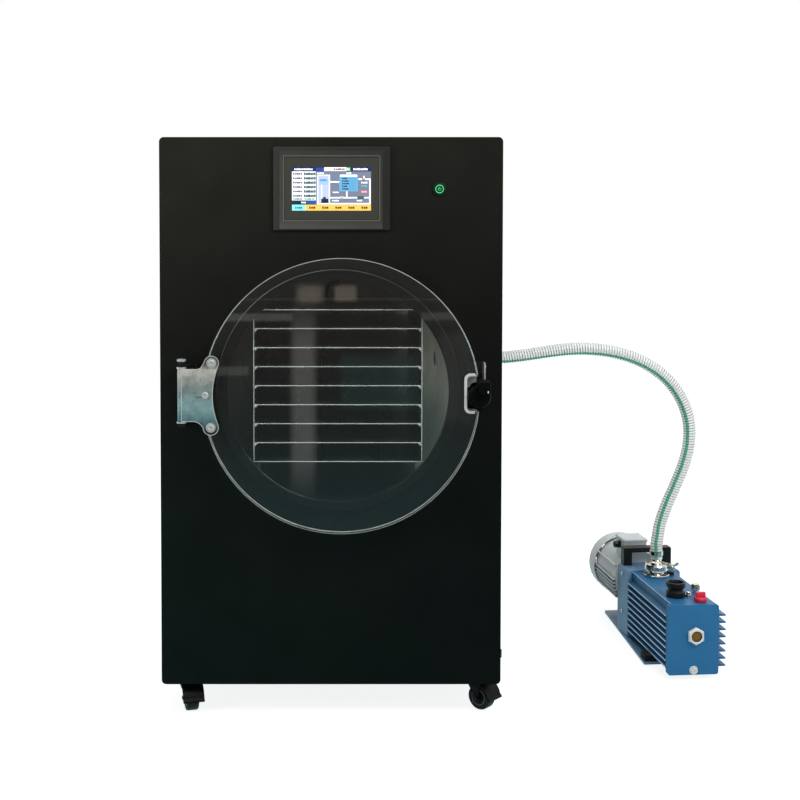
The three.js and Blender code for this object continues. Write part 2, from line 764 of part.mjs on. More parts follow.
// The duct plate behind the coil, its ring, and the four arms that hold the fan's motor.
function fanShroud() {
  const { ring: duct, ringDepth, motor: can } = fan;
  const z = frame.floor + frame.wall + rest;
  const at = [fanAt.y, fanAt.z];
  const plate = cut(
    block([fanFace, fanFace + 2], [condenser.y, condenser.y + condenser.length], [z, z + condenser.height]),
    rod("x", duct, [fanFace - 1, fanFace + 3], at, roundSides),
  );
  const hoop = ring("x", [duct, duct + 3], [fanFace, fanFace + ringDepth], at, roundSides);
  const far = fanFace + ringDepth;
  const upright = block([far - 4, far], [at[0] - 5, at[0] + 5], [at[1] - duct - 1, at[1] + duct + 1]);
  const level = block([far - 4, far], [at[0] - duct - 1, at[0] + duct + 1], [at[1] - 5, at[1] + 5]);
  const drum = rod("x", can, [far - 4, far + 24], at);
  const bearing = rod("x", 4 + running, [far - 5, far + 8], at, 12);
  return cut(joined(plate, hoop, upright, level, drum), bearing);
}

function condenserFan() {
  const at = [fanAt.y, fanAt.z];
  const far = fanFace + fan.ringDepth - 4 - running;
  const hub = rod("x", fan.hub, [far - 16, far], at);
  const shaft = rod("x", 4, [far - 2, far + 9], at, 12);
  let body = hub.add(shaft);
  for (let i = 0; i < fan.blades; i++) {
    const blade = new THREE.BoxGeometry(2.5, 46, fan.radius - fan.hub + 6);
    blade.translate(0, 0, (fan.radius + fan.hub - 6) / 2);
    blade.rotateZ(0.28);
    blade.rotateX((i * 2 * Math.PI) / fan.blades);
    blade.translate(far - 9, at[0], at[1]);
    body = body.add(solid(blade));
  }
  return body;
}

// The suction pipe from the chamber to the right side, with a sealing flange, a hex and a hose barb outside.
function hoseOutlet() {
  const { y, z, bore, pipe, flange, hex, barb, reach } = outlet;
  const seat = chamber.x + Math.sqrt(chamberOuter ** 2 - (z - chamber.z) ** 2) + 1.2;
  const wall = side + rest;
  const tail = side + reach;
  const body = revolve(
    "x",
    [
      [bore, seat],
      [pipe, seat],
      [pipe, wall],
      [flange, wall],
      [flange, wall + 6],
      [pipe, wall + 8],
      [pipe, wall + 20],
      [barb, wall + 22],
      [barb + 1.2, wall + 26],
      [barb, wall + 34],
      [barb + 1.2, wall + 38],
      [barb, tail],
      [bore, tail],
    ],
    [y, z],
  );
  const nut = ring("x", [pipe - 1, hex], [wall + 8, wall + 19], [y, z], 6);
  return body.add(nut);
}

// The drain tap: a pipe from the chamber's lowest point, a body behind the right side sheet with the
// knob's spigot through it, and a spout that goes back clear of the caster and down through the tray.
function drainValve() {
  const { y, z, body: size, pipe } = drain;
  const at = inner - 22;
  const housing = block([at - size, inner - frame.wall - rest], [y - size, y + size], [z - 8, z + size]);
  const spout = joined(
    rod("y", 5, [y, drain.spoutY], [at, z + 5], 12),
    rod("z", 5, [bottom + 2, z + 9], [at, drain.spoutY], 12),
  );
  const spigot = rod("x", pipe, [at, side + 1], [y, z], 16);
  const bearing = rod("x", 4 + running, [side - 10, side + 2], [y, z], 12);
  const run = rod("x", 5, [chamber.x, at], [y, z + 5], 12);
  const riser = rod("z", 5, [z, chamber.z - chamberOuter - rest], [chamber.x, y], 12);
  return cut(joined(housing, spout, spigot, run, riser), bearing);
}

function drainKnob() {
  const { y, z, knob, knobDepth } = drain;
  const face = side + 1 + running;
  const dial = revolve(
    "x",
    [[0, face], [knob, face], [knob, face + knobDepth - 2], [knob - 2, face + knobDepth], [0, face + knobDepth]],
    [y, z],
    16,
  );
  const spindle = rod("x", 4, [side - 9, face + 1], [y, z], 12);
  const groove = block([face + knobDepth - 3, face + knobDepth + 1], [y - 2, y + 2], [z - knob - 1, z + knob + 1]);
  return cut(joined(dial, spindle), groove);
}

// ---------------------------------------------------------------- casters

// Caster pieces are made with the swivel axis at the origin and the wheel trailing towards -Y.
function casterFork() {
  const { head, trail, wheel, tread, cheek } = caster;
  const headLow = padLow - rest - 7;
  const insideFork = tread / 2 + 1.2;
  const outside = insideFork + cheek;
  let body = rod("z", head, [headLow, padLow - rest], [0, 0]);
  const outline = new THREE.Shape();
  outline.moveTo(14, headLow + 1);
  outline.lineTo(-16, headLow + 1);
  outline.lineTo(-trail - 6, wheel);
  outline.absarc(-trail, wheel, 7, Math.PI, 2 * Math.PI);
  outline.lineTo(14, headLow - 8);
  for (const xs of [[-outside, -insideFork], [insideFork, outside]]) {
    body = body.add(carry("x", outline, xs));
  }
  const bridge = block([-outside, outside], [-12, 14], [headLow - 1.2, headLow + 1]);
  const axle = rod("x", 4, [-outside - 1.5, outside + 1.5], [-trail, wheel], 12);
  const bore = rod("z", 5 + running, [headLow - 3, padLow], [0, 0], 12);
  return cut(joined(body, bridge, axle), bore);
}

function casterWheel() {
  const { trail, wheel, tread } = caster;
  const half = tread / 2;
  return revolve(
    "x",
    [
      [4 + running, -half],
      [wheel - 8, -half],
      [wheel - 7, -half + 2],
      [wheel - 3, -half],
      [wheel, -half + 4],
      [wheel, half - 4],
      [wheel - 3, half],
      [wheel - 7, half - 2],
      [wheel - 8, half],
      [4 + running, half],
    ],
    [-trail, wheel],
    32,
  );
}

// The brake pedal is a hood over the front of the wheel, hung on the fork by two ears.
function casterBrake() {
  const { width, clear, thick, pivotY, pivotRise } = brake;
  const { trail, wheel, tread, cheek } = caster;
  const near = wheel + clear;
  const pivotZ = 2 * wheel + pivotRise;
  const outside = tread / 2 + 1.2 + cheek + rest;
  const hood = new THREE.Shape();
  hood.absarc(0, 0, near, Math.PI * 0.56, Math.PI * 0.97, false);
  hood.lineTo(-near - thick - 3, 0);
  hood.lineTo(-near - thick - 3, 3);
  hood.absarc(0, 0, near + thick, Math.PI * 0.93, Math.PI * 0.56, true);
  const cap = carry("x", hood, [-width / 2, width / 2], 8).translate([0, -trail, wheel]);
  const ear = polygon([
    [pivotY - 20, pivotZ - 6],
    [pivotY - 20, pivotZ + 1],
    [pivotY, pivotZ + 5],
    [pivotY + 5, pivotZ],
    [pivotY, pivotZ - 5],
  ]);
  const ears = [[-width / 2, -outside], [outside, width / 2]].map((xs) => carry("x", ear, xs));
  return joined(cap, ...ears);
}

// ---------------------------------------------------------------- vacuum pump

// A tapered foot plate on rubber pads and the upright casting that joins pump and motor.
function pumpBase() {
  const { width, x: middle, top: high, thick, corner, base, pad } = bracket;
  const from = casing.length + rest;
  const outline = polygon([
    [-plate.frontHalf, plate.front],
    [plate.frontHalf, plate.front],
    [plate.rearHalf, plate.rear],
    [-plate.rearHalf, plate.rear],
  ]);
  const upright = carry(
    "y",
    roundedRect([middle - width / 2, middle + width / 2], [pad, high], corner),
    [from, from + thick],
  );
  let body = joined(carry("z", outline, [pad, pad + base]), upright);
  const seat = { x: 40, half: 12, from: plate.front + 20, length: 40 };
  for (const sx of [-1, 1]) {
    for (const [at, y] of [[plate.padX, plate.front + 14], [plate.rearPadX, plate.rear - 34]]) {
      const x = sx * at;
      body = body.add(block([x - plate.padW / 2, x + plate.padW / 2], [y, y + plate.padL], [0, pad + 1]));
    }
    const x = sx * seat.x;
    body = body.add(
      block([x - seat.half, x + seat.half], [seat.from, seat.from + seat.length], [pad + 1, casing.foot + 2 - rest]),
    );
  }
  return body;
}

// The oil box: a flat front cover with cooling fins behind it, proud of it on the right and level on the left.
function oilCasing() {
  const { width, foot, length, cover, corner } = casing;
  const half = width / 2;
  const face = carry("y", roundedRect([-half, half], [foot, casingTop], corner), [0, cover + 1]);
  const low = foot + 12;
  const teeth = ({ count, root, tip }) => {
    const pitch = (casingTop - 14 - low) / count;
    const points = [];
    for (let i = 0; i < count; i++) {
      const z = low + i * pitch;
      points.push([root, z], [tip, z + 1], [tip, z + 3.5], [root, z + pitch * 0.55]);
    }
    return points;
  };
  const right = [[fins.right.root, foot + 2], ...teeth(fins.right), [fins.right.root, casingTop]];
  const left = [[fins.left.root, foot + 2], ...teeth(fins.left), [fins.left.root, casingTop]].reverse();
  const finned = carry("y", polygon([...right, ...left]), [cover, length]);
  const spigot = rod("y", sight.bore - 1, [-1, cover], [sight.x, sight.z]);
  return cut(joined(face, finned), spigot);
}

// A shell ribbed from its left side round to its right, with the terminal box cast on top and a bearing for
// the shaft at its end.
function motorHousing() {
  const { x, radius, rib, axis, shaft, boxW, boxL, boxX, boxTop } = motor;
  const ribs = { count: 21, from: 0.98, to: 2.02, foot: 0.006, crest: 0.015 };
  const pitch = (ribs.to - ribs.from) / (ribs.count - 1);
  const outline = new THREE.Shape();
  for (let i = 0; i < ribs.count; i++) {
    const middle = ribs.from + i * pitch;
    for (const [turned, out] of [[-ribs.crest, 0], [-ribs.foot, rib], [ribs.foot, rib], [ribs.crest, 0]]) {
      const angle = Math.PI * (middle + turned);
      const point = [x + (radius + out) * Math.cos(angle), axis + (radius + out) * Math.sin(angle)];
      if (i === 0 && turned === -ribs.crest) outline.moveTo(...point);
      else outline.lineTo(...point);
    }
  }
  outline.absarc(x, axis, radius, Math.PI * 0.08, Math.PI * 0.92);
  const shell = carry("y", outline, [motorFront, motorRear], 16);
  const box = block(
    [boxX - boxW / 2, boxX + boxW / 2],
    [motorFront + 4, motorFront + 4 + boxL],
    [axis + radius - 20, boxTop],
  );
  const bearing = rod("y", shaft + running, [motorRear - 20, motorRear + 1], [x, axis], 16);
  return cut(joined(shell, box), bearing);
}

// The fan cover: a pressed cup over the motor's end with a ring of slots.
function fanCover() {
  const { wall, length, over, slots } = cowl;
  const rim = motor.radius + motor.rib + 2 * running + wall;
  const from = motorRear - over;
  const to = motorRear + length;
  const cup = revolve(
    "y",
    [
      [0, to],
      [rim - 12, to],
      [rim - 3, to - 4],
      [rim, to - 12],
      [rim, from],
      [rim - wall, from],
      [rim - wall, to - 12],
      [rim - 12, to - wall],
      [0, to - wall],
    ],
    [motor.x, motor.axis],
    32,
  );
  let body = cup;
  const slot = { width: 14, length: 30, radius: 38 };
  for (let i = 0; i < slots; i++) {
    const opening = new THREE.BoxGeometry(slot.width, 2 * wall + 4, slot.length);
    opening.translate(0, 0, slot.radius);
    opening.rotateY((i * 2 * Math.PI) / slots);
    opening.translate(motor.x, to - wall / 2, motor.axis);
    body = cut(body, solid(opening));
  }
  return body;
}

function motorFan() {
  const blades = { count: 7, thick: 2.4, chord: 26, from: 13, to: motor.radius - 9, hub: 16 };
  const hub = rod("y", blades.hub, [motorRear + running, motorRear + 22], [motor.x, motor.axis], 16);
  const shaft = rod("y", motor.shaft, [motorRear - 19, motorRear + 22], [motor.x, motor.axis], 16);
  let body = joined(hub, shaft);
  for (let i = 0; i < blades.count; i++) {
    const blade = new THREE.BoxGeometry(blades.thick, blades.chord, blades.to - blades.from);
    blade.translate(0, 0, (blades.from + blades.to) / 2);
    blade.rotateY((i * 2 * Math.PI) / blades.count);
    blade.translate(motor.x, motorRear + 16, motor.axis);
    body = body.add(solid(blade));
  }
  return body;
}

// A square black arch bolted to the top of the upright casting, near its rear.
function carryHandle() {
  const { width, height, leg, bar, depth, fromRear } = handle;
  const to = casing.length + rest + bracket.thick - fromRear;
  const low = bracket.top + rest;
  const left = bracket.x - width / 2;
  const right = bracket.x + width / 2;
  const y = [to - depth, to];
  const cutThrough = [y[0] - 1, y[1] + 1];
  return cut(
    carry("y", roundedRect([left, right], [low - 10, low + height], 4), y),
    block([left + leg, right - leg], cutThrough, [low - 20, low + height - bar]),
    block([left - 1, right + 1], cutThrough, [low - 20, low]),
  );
}

// The inlet: a round foot, a neck with a sealing flange, and the barbed nozzle clamped on it.
function inletPort() {
  const { y, base, neck, flange, bore, top: high } = inlet;
  const z = casingTop + rest;
  return revolve(
    "z",
    [
      [0, z],
      [base, z],
      [base, z + 5],
      [neck, z + 6],
      [neck, z + clamp.low + 3],
      [flange, z + clamp.low + 6],
      [flange, z + clamp.low + 9],
      [neck - 3, z + clamp.low + 12],
      [bore, z + clamp.low + 18],
      [bore + 1.2, z + 36],
      [bore, z + 44],
      [bore + 1.2, z + 48],
      [bore, z + high],
      [0, z + high],
    ],
    [0, y],
  );
}

// A two-part ring over the sealing flange, with the lugs of its wing screw.
function clampRing() {
  const { radius, low, height } = clamp;
  const z = casingTop + rest + low;
  const hoop = revolve(
    "z",
    [
      [inlet.flange + rest, z + height],
      [inlet.flange + rest, z + 2],
      [inlet.neck + rest + 1, z],
      [radius - 2, z],
      [radius, z + 3],
      [radius, z + height - 3],
      [radius - 2, z + height],
    ],
    [0, inlet.y],
  );
  const lugs = block([8, 40], [inlet.y - 7, inlet.y + 7], [z + 2, z + height - 2]);
  const hollow = rod("z", inlet.flange + rest, [z - 1, z + height + 1], [0, inlet.y]);
  const slit = block([22, 41], [inlet.y - 1.2, inlet.y + 1.2], [z - 1, z + height + 1]);
  return cut(hoop.add(cut(lugs, hollow)), slit);
}

function exhaustFilter() {
  const { x, y, radius, waist, height } = exhaust;
  const z = casingTop + rest;
  return revolve(
    "z",
    [
      [0, z],
      [radius, z],
      [radius, z + 9],
      [waist, z + 12],
      [waist, z + 20],
      [radius, z + 25],
      [radius, z + height],
      [radius - 4, z + height],
      [radius - 5, z + height - 10],
      [0, z + height - 10],
    ],
    [x, y],
  );
}

function oilFillerCap() {
  const { x, y, radius, height } = filler;
  const z = casingTop + rest;
  const disc = revolve(
    "z",
    [[0, z], [radius - 2, z], [radius, z + 2], [radius, z + 8], [radius - 3, z + 10], [0, z + 10]],
    [x, y],
  );
  const grip = block([x - 11, x + 11], [y - 3.5, y + 3.5], [z + 9, z + height]);
  return disc.add(grip);
}

function ballastKnob() {
  const { x, y, radius, height } = ballast;
  const z = casingTop + rest;
  return revolve(
    "z",
    [
      [0, z],
      [radius - 3, z],
      [radius - 3, z + 6],
      [radius, z + 7],
      [radius, z + height - 3],
      [radius - 2, z + height],
      [0, z + height],
    ],
    [x, y],
  );
}

// The oil window: a hexagon ring screwed into the cover with its glass sealed in.
function sightGlass() {
  const { x, z, radius, bore, proud } = sight;
  const plug = rod("y", bore - 1 - running, [-rest - 1, casing.cover - 1], [x, z]);
  const hexagon = new THREE.CylinderGeometry(radius, radius, proud, 6);
  hexagon.translate(x, -proud / 2 - rest, z);
  const window = rod("y", bore, [-proud - rest - 1, -proud - rest + 2], [x, z]);
  return cut(joined(solid(hexagon), plug), window);
}

// ---------------------------------------------------------------- hose

// From the barb on the cabinet's side, up and over in one long arch, and down onto the pump's nozzle.
const turn = THREE.MathUtils.degToRad(pumpAt.turn);
const nozzle = [
  pumpAt.x - inlet.y * Math.sin(turn),
  pumpAt.y + inlet.y * Math.cos(turn),
  casingTop + rest + inlet.top + 1,
];
const hoseRoute = [
  [side + outlet.reach + 1, outlet.y, outlet.z],
  [side + outlet.reach + 9, outlet.y, outlet.z + 0.4],
  [442.7, 449.2, 665.1],
  [491.7, 448, 672.7],
  [541, 446.5, 678.6],
  [591.8, 445.2, 679.3],
  [643.1, 444, 672.9],
  [692.3, 443, 658.6],
  [736.9, 442.1, 635.6],
  [774.2, 441.1, 603.3],
  [801.8, 440.1, 561.9],
  [817, 439, 514.6],
  [817.7, 437.9, 465.1],
  [806.1, 436.7, 415.8],
  [787.2, 435.5, 368.2],
  [766.9, 434.3, 321.4],
  [751.3, 433.2, 273.9],
  [nozzle[0] + 3, nozzle[1], nozzle[2] + 28],
  [nozzle[0], nozzle[1], nozzle[2] + 9],
  nozzle,
];

// ---------------------------------------------------------------- assembly

const machine = new THREE.Group();
const body = new THREE.Group();
machine.add(body);

piece(body, "base_frame", "frameSteel", baseFrame());
piece(body, "front_panel", "cabinetBlack", frontPanel());
piece(body, "left_side_panel", "cabinetBlack", sidePanel(-1));
piece(body, "right_side_panel", "cabinetBlack", sidePanel(1));
piece(body, "top_panel", "cabinetBlack", topPanel());
piece(body, "rear_panel", "cabinetBlack", rearPanel());
piece(body, "vacuum_chamber", "stainless", vacuumChamber());
piece(body, "chamber_insulation", "foam", chamberInsulation());
piece(body, "door_gasket", "silicone", doorGasket());
piece(body, "hinge_bracket", "plasticBlack", hingeBracket());
piece(body, "latch_bracket", "zinc", latchBracket());
piece(body, "screen_bezel", "bezelGrey", screenBezel());
piece(body, "screen_display", "screenGlass", screenDisplay());
piece(body, "button_housing", "plasticBlack", buttonHousing());
piece(body, "rack_cable", "rubber", tube(leadRoute, lead.radius, 8, 14));
piece(body, "rack_frame", "stainless", rackFrame());
for (let i = 0; i < rack.shelves; i++) {
  piece(body, `shelf_${i + 1}`, "stainless", rackShelf(i));
}
piece(body, "compressor", "plasticBlack", compressorPot());
piece(body, "condenser", "finAluminium", condenserCoil());
piece(body, "fan_shroud", "frameSteel", fanShroud());
piece(body, "condenser_fan", "plasticBlack", condenserFan());
piece(body, "hose_outlet", "stainless", hoseOutlet());
piece(body, "drain_valve", "plasticBlack", drainValve());
piece(body, "drain_knob", "plasticBlack", drainKnob());
piece(body, "control_box", "frameSteel", controlBox());
piece(body, "power_button", "plasticBlack", powerButton());
piece(body, "door_disc", "acrylic", doorDisc());
piece(body, "hinge_plate", "zinc", hingePlate());
piece(body, "latch_keeper", "zinc", latchKeeper());
piece(body, "latch_knob", "plasticBlack", latchKnob());

Object.entries(casterTurn).forEach(([place, degrees], i) => {
  const [x, y] = casterPlaces()[i];
  const group = new THREE.Group();
  group.position.set(x, y, 0);
  group.rotation.z = THREE.MathUtils.degToRad(degrees);
  body.add(group);
  piece(group, `caster_fork_${place}`, "plasticBlack", casterFork());
  piece(group, `caster_wheel_${place}`, "rubber", casterWheel());
  if (place.startsWith("front")) {
    piece(group, `caster_brake_${place}`, "plasticBlack", casterBrake());
  }
});

const pump = new THREE.Group();
pump.position.set(pumpAt.x, pumpAt.y, 0);
pump.rotation.z = turn;
body.add(pump);
piece(pump, "pump_base", "bracketBlue", pumpBase());
piece(pump, "oil_casing", "pumpBlue", oilCasing());
piece(pump, "motor_housing", "motorGrey", motorHousing());
piece(pump, "fan_cover", "motorGrey", fanCover());
piece(pump, "motor_fan", "plasticBlack", motorFan());
piece(pump, "carry_handle", "plasticBlack", carryHandle());
piece(pump, "inlet_port", "chrome", inletPort());
piece(pump, "clamp_ring", "chrome", clampRing());
piece(pump, "exhaust_filter", "plasticBlack", exhaustFilter());
piece(pump, "oil_filler_cap", "fillerRed", oilFillerCap());
piece(pump, "ballast_knob", "chrome", ballastKnob());
piece(pump, "sight_glass", "chrome", sightGlass());

// The footprint is measured before the hose is added, because a hose is free to lie anywhere.
const footprint = new THREE.Box3().setFromObject(body, true);
body.position.set(
  -(footprint.min.x + footprint.max.x) / 2,
  -(footprint.min.y + footprint.max.y) / 2,
  0,
);
piece(body, "vacuum_hose", "hoseClear", tube(hoseRoute, hose.radius, hose.sides, hose.steps));

export default machine;
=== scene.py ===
"""Looks for a free-standing vacuum freeze dryer: a black cabinet on casters with a clear round door,
a rack of shelves, a touch screen and a start button, joined by a clear spiral hose to an oil-sealed pump.

Sizes are written in millimetres in three frames. CABINET has its origin at floor level under the middle of
the cabinet's front face, PUMP at the foot of the pump's own front plate, and each caster has its own, on
its swivel. X runs right, Y back and Z up. Each frame's matrix takes millimetres to the row frame's metres.
"""

import json
import math

import bmesh
import bpy
import numpy as np
from mathutils import Matrix, Vector


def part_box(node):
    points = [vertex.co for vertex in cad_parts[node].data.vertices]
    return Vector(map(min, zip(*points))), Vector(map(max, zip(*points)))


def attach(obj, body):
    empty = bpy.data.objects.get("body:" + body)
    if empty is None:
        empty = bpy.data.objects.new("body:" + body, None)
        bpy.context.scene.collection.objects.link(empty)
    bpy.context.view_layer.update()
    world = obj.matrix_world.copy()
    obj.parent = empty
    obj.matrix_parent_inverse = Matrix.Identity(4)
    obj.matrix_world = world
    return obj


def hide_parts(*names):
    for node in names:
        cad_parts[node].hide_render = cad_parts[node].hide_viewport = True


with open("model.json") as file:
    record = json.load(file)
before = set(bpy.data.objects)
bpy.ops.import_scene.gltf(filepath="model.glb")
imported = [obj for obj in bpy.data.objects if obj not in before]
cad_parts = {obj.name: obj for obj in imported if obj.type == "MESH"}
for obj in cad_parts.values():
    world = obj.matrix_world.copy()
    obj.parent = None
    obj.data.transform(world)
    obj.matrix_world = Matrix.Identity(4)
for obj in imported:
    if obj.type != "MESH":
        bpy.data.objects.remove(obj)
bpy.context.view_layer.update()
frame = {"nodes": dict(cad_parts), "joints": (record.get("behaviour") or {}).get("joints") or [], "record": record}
joints = {j["name"]: j for j in frame["joints"]}
body_of = {n: b for b, nodes in frame["record"]["behaviour"]["bodies"].items() for n in nodes}
scene = bpy.context.scene

MM = Matrix.Scale(0.001, 4)
panel_low, panel_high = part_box("front_panel")
CABINET = Matrix.Translation(((panel_low.x + panel_high.x) / 2, panel_low.y, 0)) @ MM

FILLER = (24, 25)  # the oil filler's place on the pump
pump_axis = joints["pump_fan_spin"]["axis"]
pump_turn = Matrix.Rotation(math.atan2(-pump_axis[0], pump_axis[1]), 4, "Z")
filler_x, filler_y, _ = joints["filler_turn"]["pos_m"]
PUMP = Matrix.Translation((filler_x, filler_y, 0)) @ pump_turn @ MM
PUMP = PUMP @ Matrix.Translation((-FILLER[0], -FILLER[1], 0))

# Ways to lay a shape that was drawn in (u, v) and raised along w: on the ground, or facing one side.
UP = Matrix.Identity(4)
FRONT = Matrix(((1, 0, 0, 0), (0, 0, -1, 0), (0, 1, 0, 0), (0, 0, 0, 1)))
RIGHT = Matrix(((0, 0, 1, 0), (1, 0, 0, 0), (0, 1, 0, 0), (0, 0, 0, 1)))
BACK = Matrix(((-1, 0, 0, 0), (0, 0, 1, 0), (0, 1, 0, 0), (0, 0, 0, 1)))
LEFT = Matrix.Rotation(math.pi, 4, "Z") @ RIGHT


def configure(thing, **settings):
    for key, value in settings.items():
        setattr(thing, key, value)


# ---- camera

camera = bpy.data.objects.new("camera", bpy.data.cameras.new("camera"))
scene.collection.objects.link(camera)
camera.location = CABINET @ Vector((0, -2400, 938))
camera.rotation_euler = (math.radians(87.8), 0, 0)
configure(camera.data, lens=56.16, sensor_width=36, shift_x=0.0861, shift_y=-0.1452, clip_end=50)
scene.camera = camera

# ---- shapes


def skin(rings, sides, ends="capped"):
    """The faces between rings of corners, where each ring joins the next one. The first and the last ring are
    capped, left open or joined to each other."""
    faces = []
    if ends == "capped":
        faces = [tuple(range(sides))[::-1], tuple(range((rings - 1) * sides, rings * sides))]
    for j in range(rings if ends == "joined" else rings - 1):
        low, high = j * sides, (j + 1) % rings * sides
        for i in range(sides):
            k = (i + 1) % sides
            faces.append((low + i, low + k, high + k, high + i))
    return faces


def lathe(profile, sides=64):
    """A body of revolution about Z. Corner i of ring j is (r_j cos a, r_j sin a, s_j), a = 2 pi i / sides.
    A profile [(r, s), ...] that starts and ends on the axis is closed by its ends, any other by itself."""
    p = np.array(profile, float)
    a = np.linspace(0, 2 * math.pi, sides, endpoint=False)
    points = np.empty((len(p), sides, 3))
    points[..., 0] = np.outer(p[:, 0], np.cos(a))
    points[..., 1] = np.outer(p[:, 0], np.sin(a))
    points[..., 2] = p[:, 1:2]
    on_axis = p[0, 0] == 0 and p[-1, 0] == 0
    return points.reshape(-1, 3), skin(len(p), sides, "open" if on_axis else "joined")


def band(inner, outer, low, high):
    """The profile of a plain ring, or of a rod where inner is 0."""
    return [(inner, low), (outer, low), (outer, high), (inner, high)]


def shrunk(outline, by):
    """A closed outline moved inwards by that much: each corner goes along the mean of its two edges' normals,
    lengthened by 1 / cos of half the angle between them."""
    p = np.array(outline, float)
    ahead = np.roll(p, -1, 0) - p
    ahead /= np.linalg.norm(ahead, axis=1)[:, None]
    normal = np.stack([-ahead[:, 1], ahead[:, 0]], 1)
    mean = normal + np.roll(normal, 1, 0)
    return p + by * mean * (2 / np.maximum((mean**2).sum(1), 0.5))[:, None]


def prism(outline, low, high, chamfer=0):
    """An outline, given counter-clockwise, raised from low to high along w, with both rims chamfered."""
    p = np.array(outline, float)
    levels = [(low, 0), (high, 0)]
    if chamfer:
        levels = [(low, chamfer), (low + chamfer, 0), (high - chamfer, 0), (high, chamfer)]
    rings = [np.column_stack([shrunk(p, c) if c else p, np.full(len(p), z)]) for z, c in levels]
    return np.vstack(rings), skin(len(levels), len(p))


def arc(x, y, r, start, end, steps=12):
    """Points on a circle's arc, with the angles in degrees."""
    a = np.radians(np.linspace(start, end, steps + 1))
    return [(x + r * math.cos(t), y + r * math.sin(t)) for t in a]


def rounded(x0, x1, y0, y1, r, steps=6):
    """A rectangle with round corners, counter-clockwise."""
    middles = ((x1 - r, y0 + r), (x1 - r, y1 - r), (x0 + r, y1 - r), (x0 + r, y0 + r))
    return [p for i, (x, y) in enumerate(middles) for p in arc(x, y, r, i * 90 - 90, i * 90, steps)]


def brick(xs, ys, zs, chamfer):
    """A block with chamfered edges, given by its limits."""
    return prism(rounded(*xs, *ys, chamfer, 2), *zs, chamfer)


def hexagon(r, turn=0):
    return arc(0, 0, r, turn, turn + 300, 5)


def frames_along(points):
    """The unit tangent and two normals at each point of a path, turned as little as possible from one point
    to the next: each normal is the one before it with its share along the new tangent taken out."""
    p = np.array(points, float)
    tangent = np.gradient(p, axis=0)
    tangent /= np.linalg.norm(tangent, axis=1)[:, None]
    side = np.cross(tangent[0], (0, 0, 1) if abs(tangent[0][2]) < 0.9 else (0, 1, 0))
    normals = []
    for t in tangent:
        side = side - t * side.dot(t)
        side /= np.linalg.norm(side)
        normals.append(side)
    n = np.array(normals)
    return p, tangent, n, np.cross(tangent, n)


def tube(points, radius, sides=16):
    """A bar along a path, with flat ends. Its radius is one number, or one for each corner of each ring."""
    p, _, n, b = frames_along(points)
    a = np.linspace(0, 2 * math.pi, sides, endpoint=False)
    ring = n[:, None] * np.cos(a)[None, :, None] + b[:, None] * np.sin(a)[None, :, None]
    points = p[:, None] + ring * np.broadcast_to(radius, (len(p), sides))[..., None]
    return points.reshape(-1, 3), skin(len(p), sides)


def placed(shape, lay=UP, at=(0, 0, 0)):
    """A shape laid as UP, FRONT, RIGHT, LEFT or BACK says and moved."""
    points, faces = shape
    m = np.array(Matrix.Translation(at) @ lay)
    return points @ m[:3, :3].T + m[:3, 3], faces


def turned(profile, sides=64, lay=FRONT, at=(0, 0, 0)):
    return placed(lathe(profile, sides), lay, at)


def raised(outline, low, high, chamfer=0, lay=FRONT, at=(0, 0, 0)):
    return placed(prism(outline, low, high, chamfer), lay, at)


def rim_of(outer, inner, low, high):
    """A flat frame between two outlines with as many corners each, raised from low to high."""
    loops = [(outer, low), (outer, high), (inner, high), (inner, low)]
    points = [np.column_stack([np.array(o, float), np.full(len(outer), w)]) for o, w in loops]
    return placed((np.vstack(points), skin(4, len(outer), "joined")), FRONT)


def joined(*shapes):
    """Several shapes as one."""
    points, faces, start = [], [], 0
    for p, f in shapes:
        points.append(p)
        faces += [tuple(i + start for i in face) for face in f]
        start += len(p)
    return np.vstack(points), faces


def spline(points, step):
    """A centripetal Catmull-Rom curve through the points, with one point about every step along it. Between
    p1 and p2 the spans d are the square roots of the distances, the slope at p1 is
    ((p1 - p0) / d0 - (p2 - p0) / (d0 + d1) + (p2 - p1) / d1) d1, and Hermite's cubic joins the two."""
    p = np.array(points, float)
    p = np.vstack([2 * p[0] - p[1], p, 2 * p[-1] - p[-2]])
    t = np.linspace(0, 1, 60, endpoint=False)[:, None]
    parts = []
    for i in range(1, len(p) - 2):
        p0, p1, p2, p3 = p[i - 1 : i + 3]
        d0, d1, d2 = (np.linalg.norm(b - a) ** 0.5 for a, b in ((p0, p1), (p1, p2), (p2, p3)))
        m1 = ((p1 - p0) / d0 - (p2 - p0) / (d0 + d1) + (p2 - p1) / d1) * d1
        m2 = ((p2 - p1) / d1 - (p3 - p1) / (d1 + d2) + (p3 - p2) / d2) * d1
        parts.append((2 * t**3 - 3 * t**2 + 1) * p1 + (t**3 - 2 * t**2 + t) * m1
                     + (3 * t**2 - 2 * t**3) * p2 + (t**3 - t**2) * m2)
    q = np.vstack(parts + [p[-2:-1]])
    s = np.concatenate([[0], np.cumsum(np.linalg.norm(np.diff(q, axis=0), axis=1))])
    u = np.linspace(0, s[-1], int(s[-1] / step) + 1)
    return np.column_stack([np.interp(u, s, q[:, k]) for k in range(3)]), u


def curve(start, control, end, steps=10):
    """A quadratic curve without its ends: (1 - t)^2 start + 2 t (1 - t) control + t^2 end."""
    t = np.linspace(0, 1, steps + 1)[1:-1, None]
    a, c, b = (np.array(v, float) for v in (start, control, end))
    return [tuple(v) for v in (1 - t) ** 2 * a + 2 * t * (1 - t) * c + t**2 * b]


# ---- materials


def linear(code):
    """An sRGB colour written as #rrggbb, as linear light: ((c + 0.055) / 1.055)^2.4 above 0.04045."""
    c = [int(code[i : i + 2], 16) / 255 for i in (1, 3, 5)]
    return [v / 12.92 if v <= 0.04045 else ((v + 0.055) / 1.055) ** 2.4 for v in c] + [1]


